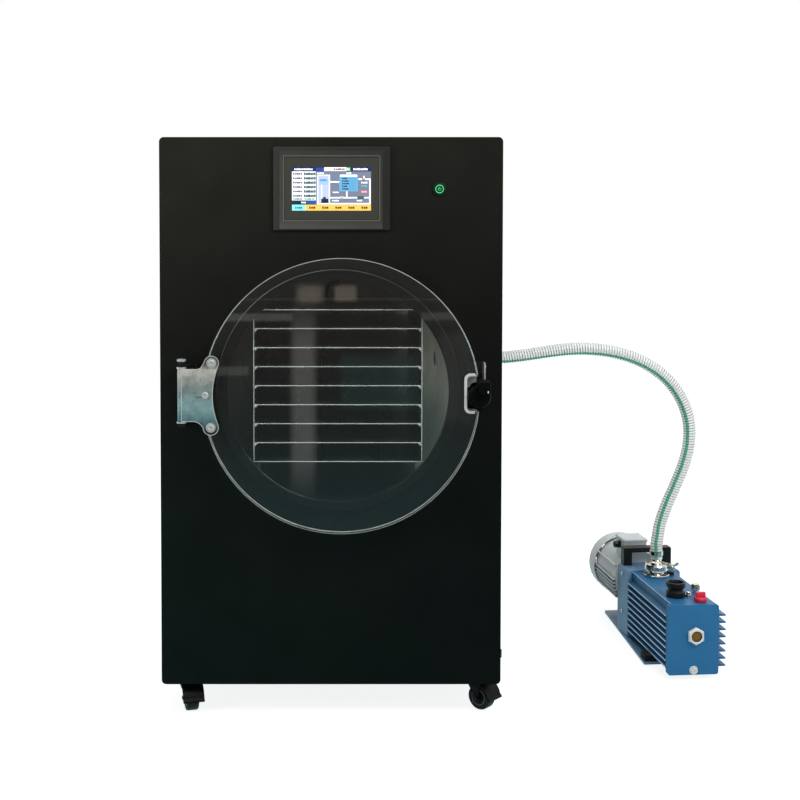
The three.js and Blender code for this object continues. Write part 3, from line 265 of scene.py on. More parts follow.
class Nodes:
    """A small writer of shader nodes for a material or a world."""

    def __init__(self, owner):
        owner.use_nodes = True
        self.owner, self.tree = owner, owner.node_tree
        self.shader = self.tree.nodes.get("Principled BSDF")

    def add(self, kind, values=(), **settings):
        node = self.tree.nodes.new("ShaderNode" + kind)
        configure(node, **settings)
        for key, value in dict(values).items():
            self.set(node.inputs[key], value)
        return node

    def set(self, target, value):
        """Gives an input a value, or links it to an output."""
        if isinstance(value, bpy.types.NodeSocket):
            self.tree.links.new(value, target)
        else:
            target.default_value = value

    def fill(self, **values):
        """Sets the shader's inputs, where _ in a name stands for a space."""
        for key, value in values.items():
            self.set(self.shader.inputs[key.replace("_", " ")], value)

    def out(self, kind, values=(), **settings):
        return self.add(kind, values, **settings).outputs[0]

    def math(self, operation, first, second=0.5):
        return self.out("Math", {0: first, 1: second}, operation=operation)

    def vectors(self, operation, first, second):
        return self.add("VectorMath", {0: first, 1: second}, operation=operation).outputs

    def part(self, axis, source="Object"):
        """X, Y or Z of a texture coordinate."""
        return self.add("SeparateXYZ", {0: self.add("TexCoord").outputs[source]}).outputs[axis]

    def noise(self, size, detail=3, stretch=(1, 1, 1)):
        """Noise over the piece's own coordinates, with features about that many millimetres wide."""
        place = self.add("TexCoord").outputs["Object"]
        scaled = self.add("Mapping", {"Vector": place, "Scale": stretch}).outputs["Vector"]
        return self.add("TexNoise", {"Vector": scaled, "Scale": 1000 / size, "Detail": detail}).outputs["Fac"]

    def ramp(self, value, low, high, to_low=0, to_high=1):
        return self.out("MapRange", {0: value, 1: low, 2: high, 3: to_low, 4: to_high})

    def mix(self, factor, first, second):
        return self.add("Mix", {0: factor, 6: first, 7: second}, data_type="RGBA").outputs[2]

    def blend(self, factor, first, second):
        return self.out("MixShader", {0: factor, 1: first, 2: second})

    def finish(self, surface):
        output = next(node for node in self.tree.nodes if node.type.startswith("OUTPUT"))
        self.tree.links.new(surface, output.inputs["Surface"])
        return self.owner

    def seen_straight(self):
        """1 for what the eye sees directly or straight through clear plastic."""
        ray = self.add("LightPath").outputs
        unturned = self.math("LESS_THAN", ray["Glossy Depth"], 0.5)
        through = self.math("MULTIPLY", ray["Is Transmission Ray"], unturned)
        return self.math("MAXIMUM", ray["Is Camera Ray"], through)

    def in_a_mirror(self):
        """1 for what is seen by reflection, also by one inside or behind clear plastic."""
        ray = self.add("LightPath").outputs
        return self.math("MAXIMUM", ray["Is Glossy Ray"], ray["Is Transmission Ray"])


def paint(name, color, rough, patch=60, metal=0, uneven=0.06, tint=0.06, grain=0, grain_size=1,
          stretch=(1, 1, 1), specular=0.5, dust=0, wear=None, coat=0, emission=0, alpha=1, bands=None,
          across=None):
    """A finish with a colour and a roughness that drift in soft patches, fine grain in the surface, a little
    dust on what faces up, and worn marks in a second colour where wear is (colour, share). Where bands is
    given the colour goes through them by height: (metres up, colour), lowest first. Where across is given
    the colour is scaled from left to right: (X, scale, X, scale)."""
    n = Nodes(bpy.data.materials.new(name))
    base = linear(color)
    roughness = n.ramp(n.noise(patch, 4, stretch), 0.3, 0.7, rough - uneven, rough + uneven)
    dark = [c * (1 - tint) for c in base[:3]] + [1]
    light = [min(1, c * (1 + tint)) for c in base[:3]] + [1]
    shade = n.mix(n.noise(patch * 0.6, 3, stretch), dark, light)
    if bands:
        drift = n.ramp(n.noise(patch * 0.5, 3), 0.3, 0.7, 1 - tint, 1 + tint)
        height = n.part("Z")
        shade = linear(bands[0][1])
        for (low, _), (high, code) in zip(bands, bands[1:]):
            shade = n.mix(n.ramp(height, low, high), shade, linear(code))
        shade = n.vectors("MULTIPLY", shade, drift)[0]
    if across:
        left, left_scale, right, right_scale = across
        shade = n.vectors("MULTIPLY", shade, n.ramp(n.part("X"), left, right, left_scale, right_scale))[0]
    if wear:
        marks = n.ramp(n.noise(7, 8, (1, 1, 0.35)), 0.7 - wear[1], 0.74 - wear[1])
        shade = n.mix(marks, shade, linear(wear[0]))
    if dust:
        up = n.add("SeparateXYZ", {0: n.add("NewGeometry").outputs["Normal"]}).outputs["Z"]
        patches = n.ramp(n.noise(25, 6), 0.35, 0.65, 0.4, 1)
        settled = n.math("MULTIPLY", n.ramp(up, 0.6, 1, 0, dust), patches)
        shade = n.mix(settled, shade, linear("#a8a49a"))
        roughness = n.math("ADD", roughness, settled)
    n.fill(Base_Color=shade, Roughness=roughness, Metallic=metal, Specular_IOR_Level=specular,
           Coat_Weight=coat, Coat_Roughness=0.08, Alpha=alpha)
    if emission:
        n.fill(Emission_Color=shade, Emission_Strength=emission)
    if grain:
        height = n.noise(grain_size, 2, stretch)
        n.fill(Normal=n.out("Bump", {"Height": height, "Strength": grain, "Distance": 0.0005}))
    return n.owner


def clear_disc(name, color, rough, haze, specular, middle, radius, half):
    """Clear plastic for a disc about an axis along Y through the middle. Lamps pass straight through, so that
    what is behind it is lit. Beyond that radius the plastic is half frosted, with painted light on it: a painted
    highlight on the chamfers, farther than half along the axis, and painted shade, a dull dark grey, on the
    turned side between them."""
    n = Nodes(bpy.data.materials.new(name))
    n.fill(Base_Color=linear(color), IOR=1.49, Transmission_Weight=1, Specular_IOR_Level=specular,
           Roughness=n.ramp(n.noise(120, 4), 0.35, 0.75, rough, rough + haze))
    shadow = n.add("LightPath").outputs["Is Shadow Ray"]
    both = n.blend(shadow, n.shader.outputs[0], n.out("BsdfTransparent", {"Color": linear(color)}))
    flat = n.vectors("MULTIPLY", n.add("TexCoord").outputs["Object"], (1, 0, 1))[0]
    off = n.vectors("DISTANCE", flat, (middle.x, 0, middle.z))["Value"]
    depth = n.math("ABSOLUTE", n.math("SUBTRACT", n.part("Y"), middle.y))
    # The frosted edge's colours are painted light: light on the chamfers, dark grey on the turned side.
    bright = n.mix(n.noise(30), linear("#9fa8a4"), linear("#cdd4d0"))
    painted_edge_light = n.mix(n.ramp(depth, half - 0.0003, half), linear("#23292a"), bright)
    share = n.ramp(off, radius - 0.0002, radius, 0, 0.5)
    return n.finish(n.blend(share, both, n.out("BsdfDiffuse", {"Color": painted_edge_light})))


# Darker and tealer towards the floor, lighter towards the top and the left: painted light falling from above and
# from the left, with a slight teal shift of the paint itself at the bottom.
coat_black = paint("black_powder_coat", "#12120d", 0.5, 180, tint=0.12, grain=0.03, grain_size=2.5,
                   specular=0.12, dust=0.02, across=(-0.58, 1.3, 0.07, 0.75),
                   bands=((0.15, "#04100d"), (0.45, "#060f0c"), (0.75, "#11110e"), (1.1, "#1c1c17")))
frame_paint = paint("dark_frame_paint", "#2e3130", 0.5, metal=0.2, grain=0.1, dust=0.06)
steel = paint("brushed_stainless", "#9a9c96", 0.3, 50, 1, uneven=0.08, grain=0.25, grain_size=1.2,
              stretch=(1, 0.06, 1))
# Painted light: the drum is darkest at the bottom, lightest at mid height and warm tan near the top, a painted
# reflection; the right wall is scaled up four times and all of it glows a little, a painted gleam.
drum_steel = paint("brushed_drum_steel", "#62665f", 0.34, 90, 0.15, uneven=0.1, tint=0.12, grain=0.3,
                   grain_size=2, stretch=(1, 0.05, 1), across=(-0.11, 0.6, -0.07, 4), emission=0.1,
                   bands=((0.44, "#232e2d"), (0.54, "#505955"), (0.62, "#73756f"), (0.76, "#504e48"),
                          (0.84, "#564e44")))
zinc = paint("passivated_zinc", "#bcc7c4", 0.32, 16, 0.75, uneven=0.1, tint=0.1, grain=0.15,
             grain_size=1.5, wear=("#7f8a88", 0.02))
keeper_zinc = paint("keeper_zinc", "#e2e4e0", 0.3, 12, 0.45, tint=0.2)
# The hinge's bands by height are painted reflections: dark at the foot, teal, then grey and cream near the top,
# and dim again at the very top.
hinge_zinc = paint("hinge_zinc", "#9aa3a0", 0.3, 26, 0.7, uneven=0.12, tint=0.16, grain=0.1,
                   grain_size=1.5, wear=("#5f7072", 0.02),
                   bands=((0.566, "#354547"), (0.592, "#7aa2a6"), (0.61, "#a3c8c9"), (0.65, "#a3b4b2"),
                          (0.668, "#cecec4"), (0.684, "#efebdf"), (0.694, "#77776f")))
# Near black except to the right of X 0.0388 m and above 0.664 m up, where it turns light grey: a painted highlight
# on the latch strip's edge. The wear marks are its own.
dark_steel = paint("dark_latch_steel", "#1a1a19", 0.3, 14, 0.5, tint=0.2, wear=("#8d8d88", 0.01),
                   across=(0.0375, 0.04, 0.0388, 1), specular=0.25,
                   bands=((0.655, "#1a1a19"), (0.664, "#c9cac5")))
latch_plastic = paint("latch_plastic", "#040404", 0.5, 30, specular=0.1, grain=0.1)
chrome = paint("bright_plate", "#e4e4e1", 0.12, 12, 1, uneven=0.05, tint=0.04)
window_steel = paint("window_steel", "#f2f2ef", 0.25, 12, 0.45, tint=0.08)
satin = paint("satin_plate", "#e9eae8", 0.34, 12, 0.75, tint=0.08)
aluminium = paint("fin_aluminium", "#a9adb0", 0.4, 20, 1, grain=0.3, stretch=(1, 1, 0.1))
foam = paint("black_foam", "#262626", 0.9, grain=0.8, grain_size=3)
silicone = paint("black_silicone", "#080908", 0.35, 30, grain=0.05, specular=0.22)
# A light strip laid along the hinge leaf's front rim: a painted highlight.
edge_highlight = paint("painted_edge_highlight", "#d5d8d2", 0.35, 40, 0.3, tint=0.1)
# Light strips laid on the rack's front edges: painted highlights.
rack_edge_highlight = paint("rack_painted_edge_highlight", "#c9ccc7", 0.35, 40, 0.3, tint=0.15)
# Dark below 0.62 m, light above 0.8 m and brighter on the left: a painted highlight on the rim's upper left.
rim_highlight = paint("rim_painted_highlight", "#8d8c85", 0.3, 50, 0.3, across=(-0.42, 1.5, -0.12, 0.3),
                   bands=((0.62, "#171918"), (0.8, "#8d8c85")))
plastic = paint("black_plastic", "#101111", 0.42, 30, grain=0.25, grain_size=0.6, specular=0.35,
                dust=0.02)
pot_paint = paint("gloss_black_paint", "#0c0d0d", 0.25, 60, coat=0.4, dust=0.05)
# The bezel's colour is scaled down towards the right, and its face is lighter at the bottom than at the top:
# painted light and shade.
bezel_grey = paint("bezel_plastic", "#2d2c29", 0.5, 40, grain=0.3, grain_size=0.5, specular=0.25,
                   across=(-0.362, 1.1, -0.144, 0.6))
bezel_face = paint("bezel_face", "#373632", 0.5, 40, grain=0.2, grain_size=0.5, specular=0.25,
                   across=(-0.362, 0.95, -0.144, 0.6),
                   bands=((0.95, "#504f4b"), (0.97, "#44423e"), (1.09, "#3c3b37"), (1.106, "#302f2c")))
bezel_line = paint("bezel_line", "#65635b", 0.4, 30)
dark_glass = paint("display_glass", "#3b3b36", 0.2, 80, uneven=0.02, coat=0.1, specular=0.3)
caster_black = paint("caster_black", "#0a0b0b", 0.5, 30, grain=0.2, grain_size=0.6, specular=0.15)
ring_grey = paint("hub_ring_grey", "#55585a", 0.5, 12)
rubber = paint("black_rubber", "#141414", 0.75, 20, grain=0.3, grain_size=0.8, specular=0.3, dust=0.05)
tread = paint("caster_tread", "#1b1c1c", 0.6, 15, grain=0.2, wear=("#4a4a47", 0.03), specular=0.3)
nylon = paint("white_nylon", "#c9ccc9", 0.45, 12, grain=0.05)
pump_blue = paint("pump_blue_enamel", "#1d6390", 0.42, 70, tint=0.05, grain=0.1, grain_size=1.4,
                  dust=0.02, specular=0.3)
# Dark strips for the gaps between the oil casing's fins: painted shade.
fin_gap_shade = paint("fin_gap_painted_shade", "#0f2438", 0.5, 40, specular=0.2)
# Light blue strips for the fin tips and the lid's left edge: painted highlights, broken by darker worn marks.
fin_edge_highlight = paint("fin_edge_painted_highlight", "#a9c9e6", 0.4, 18, tint=0.12, wear=("#4d81ad", 0.06))
bracket_blue = paint("bracket_blue_enamel", "#678bab", 0.42, 60, grain=0.1, grain_size=1.4,
                     specular=0.4)
motor_grey = paint("motor_grey_enamel", "#c6ccce", 0.42, 50, grain=0.12, grain_size=1.3, dust=0.04)
red_cap = paint("red_cap_plastic", "#c8203c", 0.32, 12, specular=0.5)
oil_glass = paint("oil_in_window", "#6b4c10", 0.08, 9, tint=0.25, coat=0.6)
green_light = paint("green_ring_light", "#46cf7c", 0.3, 9, emission=0.55)
green_cap = paint("green_button_cap", "#0c2a18", 0.3, 9, emission=0.15)
button_rim = paint("button_rim", "#0f2518", 0.5, 9, specular=0.15)
# The hose and its stripe glow faintly: painted light.
hose_wall = paint("clear_hose", "#f1f5f4", 0.18, 25, tint=0.03, specular=0.6, alpha=0.6, emission=0.08)
hose_green = paint("hose_green_stripe", "#38b386", 0.3, 25, alpha=0.72, emission=0.08)
spring_wire = paint("spring_wire", "#5c5753", 0.3, 20, 0.4)
tongue_zinc = paint("tongue_zinc", "#8e918c", 0.4, 12, 0.4, tint=0.3)
copper = paint("copper_pipe", "#b0703f", 0.3, 20, 1)

# ---- pieces


def in_scene(name, mesh, body):
    piece = bpy.data.objects.new(name, mesh)
    scene.collection.objects.link(piece)
    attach(piece, body)
    return piece


def finished(name, mesh, body, material, sharp):
    """Puts a mesh in the scene: corners merged, faces outward, smooth below that many degrees."""
    work = bmesh.new()
    work.from_mesh(mesh)
    bmesh.ops.remove_doubles(work, verts=work.verts, dist=2e-6)
    bmesh.ops.dissolve_degenerate(work, edges=work.edges, dist=1e-7)
    bmesh.ops.recalc_face_normals(work, faces=work.faces)
    work.to_mesh(mesh)
    work.free()
    mesh.shade_smooth()
    mesh.set_sharp_from_angle(angle=math.radians(sharp))
    mesh.materials.clear()
    mesh.materials.append(material)
    return in_scene(name, mesh, body)


def mesh_of(name, shape, space):
    """A mesh from a shape in one of the millimetre frames."""
    points, faces = shape
    m = np.array(space)
    mesh = bpy.data.meshes.new(name)
    mesh.from_pydata((points @ m[:3, :3].T + m[:3, 3]).tolist(), [], faces)
    return mesh


def make(name, slot, material, *shapes, body="cabinet", space=CABINET, node=None, sharp=35):
    """A piece from shapes, which may stand for a CAD node."""
    piece = finished(name, mesh_of(name, joined(*shapes), space), body, material, sharp)
    if node:
        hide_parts(node)
    return piece


def on_pump(name, slot, material, *shapes, **more):
    return make(name, slot, material, *shapes, space=PUMP, **more)


def refine(node, material, bevel, segments=2):
    """The node's own shape with its flat facets joined, its edges rounded and its curves smooth."""
    mesh = frame["nodes"][node].data.copy()
    mesh.name = node + "_shape"
    work = bmesh.new()
    work.from_mesh(mesh)
    bmesh.ops.remove_doubles(work, verts=work.verts, dist=1e-6)
    bmesh.ops.dissolve_limit(work, angle_limit=math.radians(0.4), verts=work.verts, edges=work.edges)
    work.to_mesh(mesh)
    work.free()
    piece = finished(node + "_shape", mesh, body_of[node], material, 35)
    rounding = piece.modifiers.new("rounding", "BEVEL")
    configure(rounding, width=bevel / 1000, segments=segments, limit_method="ANGLE",
              angle_limit=math.radians(40), harden_normals=True)
    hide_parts(node)


# ---- hose

HOSE_PITCH, HOSE_SIDES, HOSE_R, HOSE_BULGE, WIRE_MIDDLE = 6, 24, 13.4, 0.2, 13.6
port = CABINET.inverted() @ PUMP @ Vector((0, 232, 224.3))
route, along = spline([
    (359, 450, 659.7), (393, 450, 659.7), (401, 450, 660.1), (442.7, 449.2, 665.1), (491.7, 448, 672.7),
    (541, 446.5, 678.6), (591.8, 445.2, 679.3), (643.1, 444, 672.9), (692.3, 443, 658.6),
    (736.9, 442.1, 635.6), (774.2, 441.1, 603.3), (801.8, 440.1, 561.9), (817, 439, 514.6),
    (817.7, 437.9, 465.1), (806.1, 436.7, 415.8), (787.2, 435.5, 368.2), (766.9, 434.3, 321.4),
    (751.3, 433.2, 273.9), (port.x + 3, port.y, port.z + 28), (port.x, port.y, port.z + 9), tuple(port),
    (port.x, port.y, port.z - 24),
], 0.75)
path, _, normal, binormal = frames_along(route)
turns = 2 * math.pi * along / HOSE_PITCH


def wall_at(angle):
    """The wall bulges a little over each turn of the wire: r = 13.4 + 0.2 cos(2 pi s / pitch - angle)."""
    return HOSE_R + HOSE_BULGE * np.cos(turns[:, None] - angle)


around = np.linspace(0, 2 * math.pi, HOSE_SIDES, endpoint=False)[None, :]
hose = make("vacuum_hose_wall", "hose_clear", hose_wall, tube(route, wall_at(around), HOSE_SIDES),
            node="vacuum_hose", sharp=80)


def coil(inset, points_a_turn=14):
    """The wire in the hose's wall: at s along the hose it stands 13.6 mm off its middle, at angle
    2 pi s / pitch."""
    length = along[-1] - 2 * inset
    s = np.linspace(inset, along[-1] - inset, int(length / HOSE_PITCH * points_a_turn))
    a = (2 * math.pi * s / HOSE_PITCH)[:, None]
    middle, first, second = (np.column_stack([np.interp(s, along, values[:, k]) for k in range(3)])
                             for values in (path, normal, binormal))
    return middle + WIRE_MIDDLE * (first * np.cos(a) + second * np.sin(a))


wire = make("hose_wire", "zinc", spring_wire, tube(coil(2), 0.66, 5), sharp=80)


def stripe_on(middle, half_width, thick=0.35, across=5):
    """A stripe on the hose's wall, centred on an angle that may change along it, as a thin closed band."""
    angle = middle[:, None] + np.linspace(-half_width, half_width, across)[None, :]
    outer = wall_at(angle) + 0.14
    loop_angle = np.hstack([angle, angle[:, ::-1]])[..., None]
    loop_radius = np.hstack([outer, outer[:, ::-1] - thick])[..., None]
    spoke = normal[:, None] * np.cos(loop_angle) + binormal[:, None] * np.sin(loop_angle)
    return (path[:, None] + loop_radius * spoke).reshape(-1, 3), skin(len(path), 2 * across)


# The stripe faces the inside of the arch and more and more the front on the way down.
inward = np.array([[600, 420, 470]]) - path
rise = np.clip((along - 130) / 330, 0, 1)
inward[:, 1] = -(0.85 + 0.75 * rise**2 * (3 - 2 * rise)) * np.linalg.norm(inward[:, ::2], axis=1)
stripe_angle = np.unwrap(np.arctan2((inward * binormal).sum(1), (inward * normal).sum(1)))
stripe = make("hose_stripe", "hose_clear", hose_green, stripe_on(stripe_angle, 0.27), sharp=80)

# ---- cabinet

for node in ("front_panel", "top_panel", "left_side_panel", "right_side_panel"):
    refine(node, coat_black, 0.6)
refine("rear_panel", coat_black, 0.3)
refine("base_frame", frame_paint, 0.4)
refine("control_box", frame_paint, 1.2)


def screw(r, proud):
    """A pan head: a low dome."""
    return lathe([(0, 0), (r, 0), (r, proud * 0.25), (r * 0.86, proud * 0.62), (r * 0.55, proud * 0.9),
                  (r * 0.2, proud), (0, proud)], 24)


rear_screws = [placed(screw(4, 2.2), BACK, (x, 760.1, z)) for x in (-312, 312) for z in (84, 400, 720, 1090)]
make("rear_panel_screws", "zinc", zinc, *rear_screws)
side_screws = [placed(screw(4, 2), lay, (x, y, z))
               for lay, x in ((RIGHT, 330.1), (LEFT, -330.1)) for y in (60, 700) for z in (96, 1066)]
make("side_panel_screws", "zinc", zinc, *side_screws)

# ---- chamber

CHAMBER_X, CHAMBER_Z = 13, 641
CHAMBER = (CHAMBER_X, 0, CHAMBER_Z)
blend = [(225 - 24 * (1 - math.cos(a)), -536 - 24 * math.sin(a)) for a in np.radians(range(0, 91, 15))]
drum = [(0, -568), (219, -568), (226, -565), (229, -558), (229, -6), (232, -6), (232, 5.4), (231.4, 6),
        (225.8, 6), (225, 5.2)] + blend + [(0, -560)]
rail_low = CHAMBER_Z - math.sqrt(227**2 - 163**2)
rails = [brick((x - 7, x + 7), (18, 438), (rail_low, 500.5), 0.6)
         for x in (CHAMBER_X - 158, CHAMBER_X + 158)]
seam = [(198, -559.8), (201, -558.6), (203.5, -559.2), (204, -560.2), (198, -560.4)]
make("drum_shell", "stainless", drum_steel, turned(drum, 160, at=CHAMBER),
     turned(seam, 120, at=CHAMBER), *rails, node="vacuum_chamber")
make("outlet_port_ring", "stainless", steel,
     turned([(9.5, 0), (17, 0), (17, 1.4), (16, 2), (10.5, 2), (9.5, 1)], 40, LEFT, (237.2, 450, 659.7)))
refine("chamber_insulation", foam, 1.5)
make("door_seal", "silicone", silicone,
     turned([(212.6, 6.3), (231.4, 6.3), (232, 7), (232, 12.7), (231, 13.7), (214, 13.7), (212.2, 12.4),
             (212, 10), (213, 7.4)], 160, at=CHAMBER), node="door_gasket")
# A thin ring at the seal's outer edge, carrying a painted highlight.
make("drum_rim_bead", "stainless", rim_highlight,
     turned([(231.6, 5.4), (233, 5.4), (233.3, 5.8), (233, 6.3), (231.6, 6.3)], 160, at=CHAMBER))
refine("rack_frame", steel, 0.35)
for i in range(8):
    refine(f"shelf_{i + 1}", steel, 0.3)

RACK_TOP, SHELF_PITCH, SHELF_HALF, SHEET = 796.8, 36.8, 160.5, 1.6
# Thin light strips on the shelves' folded front edges and along the hoop's edge: painted highlights.
edges = []
for i in range(8):
    z, fold = RACK_TOP - 36.4 - i * SHELF_PITCH, (4 if i < 7 else 0.4)
    corners = [(-SHELF_HALF, z), (-SHELF_HALF, z - SHEET - fold), (1.5 - SHELF_HALF, z - SHEET - fold),
               (1.5 + fold - SHELF_HALF, z - SHEET)]
    edges.append(raised(corners + [(-x, v) for x, v in corners[::-1]], -8.9, -8.3, at=(CHAMBER_X, 0, 0)))
# The hoop's edge: up one side, over two round corners and down the other, then back along its inside.
HOOP_LEFT, HOOP_RIGHT, HOOP_FOOT, HOOP_WALL = -149.8, 175.8, 501.5, 1.4
bend_z = RACK_TOP - 8.2
hoop = [(HOOP_LEFT, HOOP_FOOT)] + arc(-141.8, bend_z, 8, 180, 90, 6) + arc(167.8, bend_z, 8, 90, 0, 6)
hoop += [(HOOP_RIGHT, HOOP_FOOT), (HOOP_RIGHT - HOOP_WALL, HOOP_FOOT)] + arc(167.8, bend_z, 6.6, 0, 90, 6)
hoop += arc(-141.8, bend_z, 6.6, 90, 180, 6) + [(HOOP_LEFT + HOOP_WALL, HOOP_FOOT)]
make("rack_edge_highlight_strips", "stainless", rack_edge_highlight, *edges, raised(hoop[::-1], -7.9, -7.4))
lead_route, _ = spline([
    (10, 559, 829), (9.8, 552, 829), (7, 540, 830), (-1, 518, 828), (-9, 500, 816), (-11, 488, 799),
    (-6, 474, 779), (4, 461, 769), (11, 450, 761.8), (11, 439.3, 759.8),
], 2)
make("heater_lead", "rubber_black", rubber, tube(lead_route, 4.4), node="rack_cable")
make("lead_socket", "zinc", rubber,
     turned([(0, 0), (11, 0), (11, 4), (9.5, 5), (6, 5), (6, 12), (4.5, 13), (0, 13)], 32, at=(10, 560, 829)))

# ---- door

DOOR_X, DOOR_Z, DOOR_R, DOOR_BACK, DOOR_FRONT = 19, 633.2, 263, 14, 44
NOTCH_LEFT, NOTCH_LOW, NOTCH_HIGH, NOTCH_R = 256.3, 605, 673.7, 8


def door_outline():
    """The disc's edge, counter-clockwise from the notch's upper corner round to its lower one, then the notch
    with its two round corners."""
    low, high = (math.degrees(math.asin((z - DOOR_Z) / DOOR_R)) for z in (NOTCH_LOW, NOTCH_HIGH))
    x = NOTCH_LEFT + NOTCH_R
    return (arc(DOOR_X, DOOR_Z, DOOR_R, high, 360 + low, 300)
            + arc(x, NOTCH_LOW + NOTCH_R, NOTCH_R, 270, 180, 8)
            + arc(x, NOTCH_HIGH - NOTCH_R, NOTCH_R, 180, 90, 8))


acrylic = clear_disc("clear_acrylic", "#f2f7f5", 0.006, 0.008, 0.32,
                     middle=CABINET @ Vector((DOOR_X, -29, DOOR_Z)), radius=0.2616, half=0.0136)
make("acrylic_door", "acrylic", acrylic, raised(door_outline(), DOOR_BACK, DOOR_FRONT, 1.1), body="door",
     node="door_disc", sharp=30)

HINGE_X, HINGE_Y, HINGE_Z = -284, -39.3, 636


def leaf_outline():
    """The hinge leaf: a plate whose right side swells into a round ear above and below."""
    x, z = HINGE_X, HINGE_Z
    upper = arc(x + 57.5, z + 61.4, 14, -20, 162.8, 20)
    lower = arc(x + 55.8, z - 61.2, 15, 180, 380, 24)
    return (
        [(x, z - 50), (x + 22, z - 50)] + curve((x + 22, z - 50), (x + 33, z - 50), lower[0]) + lower
        + curve(lower[-1], (x + 48.5, z), upper[0]) + upper
        + curve(upper[-1], (x + 38, z + 50), (x + 30, z + 50)) + [(x + 30, z + 50), (x, z + 50)]
    )


leaf = leaf_outline()
rolled = [(4.5, 586), (7.4, 586), (8, 586.6), (8, 685.4), (7.4, 686), (4.5, 686)]
make("hinge_leaf", "zinc", hinge_zinc, raised(leaf, 44.3, 47.3, 0.9),
     turned(rolled, 40, UP, (HINGE_X, HINGE_Y, 0)), body="door", node="hinge_plate")
# A thin light frame on the leaf's front rim: a painted highlight.
make("hinge_leaf_edge", "zinc", edge_highlight, rim_of(leaf, shrunk(leaf, 0.9), 47.25, 47.45), body="door")
washer = [(3, 0), (9.2, 0), (9.4, 0.3), (9.2, 1.4), (7.6, 1.4), (7.4, 0.9), (6.8, 0.9), (6.6, 1.4), (3, 1.4)]
small_washer = [(3, 0), (6.6, 0), (6.8, 0.3), (6.6, 1.2), (3, 1.2)]
socket_head = [(0, 0), (5.8, 0), (5.8, 2.8), (5.2, 3.4), (3.3, 3.4), (2.9, 3), (2.9, 1.2), (0, 1.2)]
bolts = []
for x, z, under, head_at in ((-226.5, 697.4, washer, 48.6), (-228.2, 574.8, washer, 48.6),
                             (-238.6, 636.3, small_washer, 48.4)):
    bolts += [turned(under, 32, at=(x, -47.3, z)), turned(socket_head, 32, at=(x, -head_at, z))]
make("hinge_bolts", "zinc", satin, *bolts, body="door")
make("hinge_slot_mark", "black_plastic", rubber,
     raised(rounded(-255.5, -245.5, 632.2, 633.8, 0.7), 47.25, 47.5), body="door")
refine("hinge_bracket", plastic, 0.8)
pin_ends = [turned([(0, 0), (8.2, 0), (8.6, 0.6), (8.6, 3.4), (7, 4.6), (3, 5.2), (0, 5.2)], 32, UP,
                   (HINGE_X, HINGE_Y, 700.2))]
pin_ends += [turned(band(8, 9.5, 0, 3), 32, UP, (HINGE_X, HINGE_Y, z)) for z in (686.3, 582.6)]
make("hinge_pin_ends", "zinc", satin, *pin_ends)

# ---- latch

LATCH_X, LATCH_Z = 280.3, 634.5
refine("latch_bracket", dark_steel, 0.5)
refine("latch_keeper", keeper_zinc, 0.5)
tongue = [(258, 650), (263, 649), (268, 657), (277, 659.5), (277, 668), (272, 671.5), (258, 671.5)]
make("keeper_tongue", "zinc", tongue_zinc, raised(tongue, 27, 29, 0.4), body="door")
make("latch_screws", "zinc", chrome, placed(screw(3.4, 2.4), RIGHT, (294.9, -15, 688)),
     placed(screw(4, 2.6), FRONT, (286, -2.9, 612)))
latch_disc = [(0, 46.5), (20.7, 46.5), (21.5, 47.3), (21.5, 57), (20.4, 59.6), (18.5, 61), (9.5, 61), (9, 62),
              (0, 62.4)]
arm = rounded(LATCH_X - 5, LATCH_X + 21, LATCH_Z, LATCH_Z + 32, 5)
grip = rounded(LATCH_X - 3.5, LATCH_X + 19.5, LATCH_Z + 6, LATCH_Z + 30.5, 4.5)
make("latch_handle", "black_plastic", latch_plastic, turned(latch_disc, at=(LATCH_X, 0, LATCH_Z)),
     raised(arm, 46.5, 59, 1.2), raised(grip, 57, 70, 2), body="latch", node="latch_knob")
# A small white mark on the grip's face, painted in place of a glint.
make("latch_glint_mark", "zinc", nylon, raised(rounded(293.6, 295.6, 643, 647.5, 0.8), 69.95, 70.4, 0.15),
     body="latch")

# ---- screen and button

refine("screen_bezel", bezel_grey, 1.4, 3)
refine("screen_display", dark_glass, 0.3)
make("screen_frame_line", "bezel_plastic", bezel_line,
     rim_of(rounded(-91.8, 93.8, 966.6, 1091.4, 2), rounded(-90.5, 92.5, 967.9, 1090.1, 1.4), 6.6, 7.3))
make("screen_face", "bezel_plastic", bezel_face,
     rim_of(rounded(-98.9, 98.7, 951.5, 1102, 2.5), rounded(-91.2, 93.2, 967.9, 1089.3, 1.4), 6.32, 7))

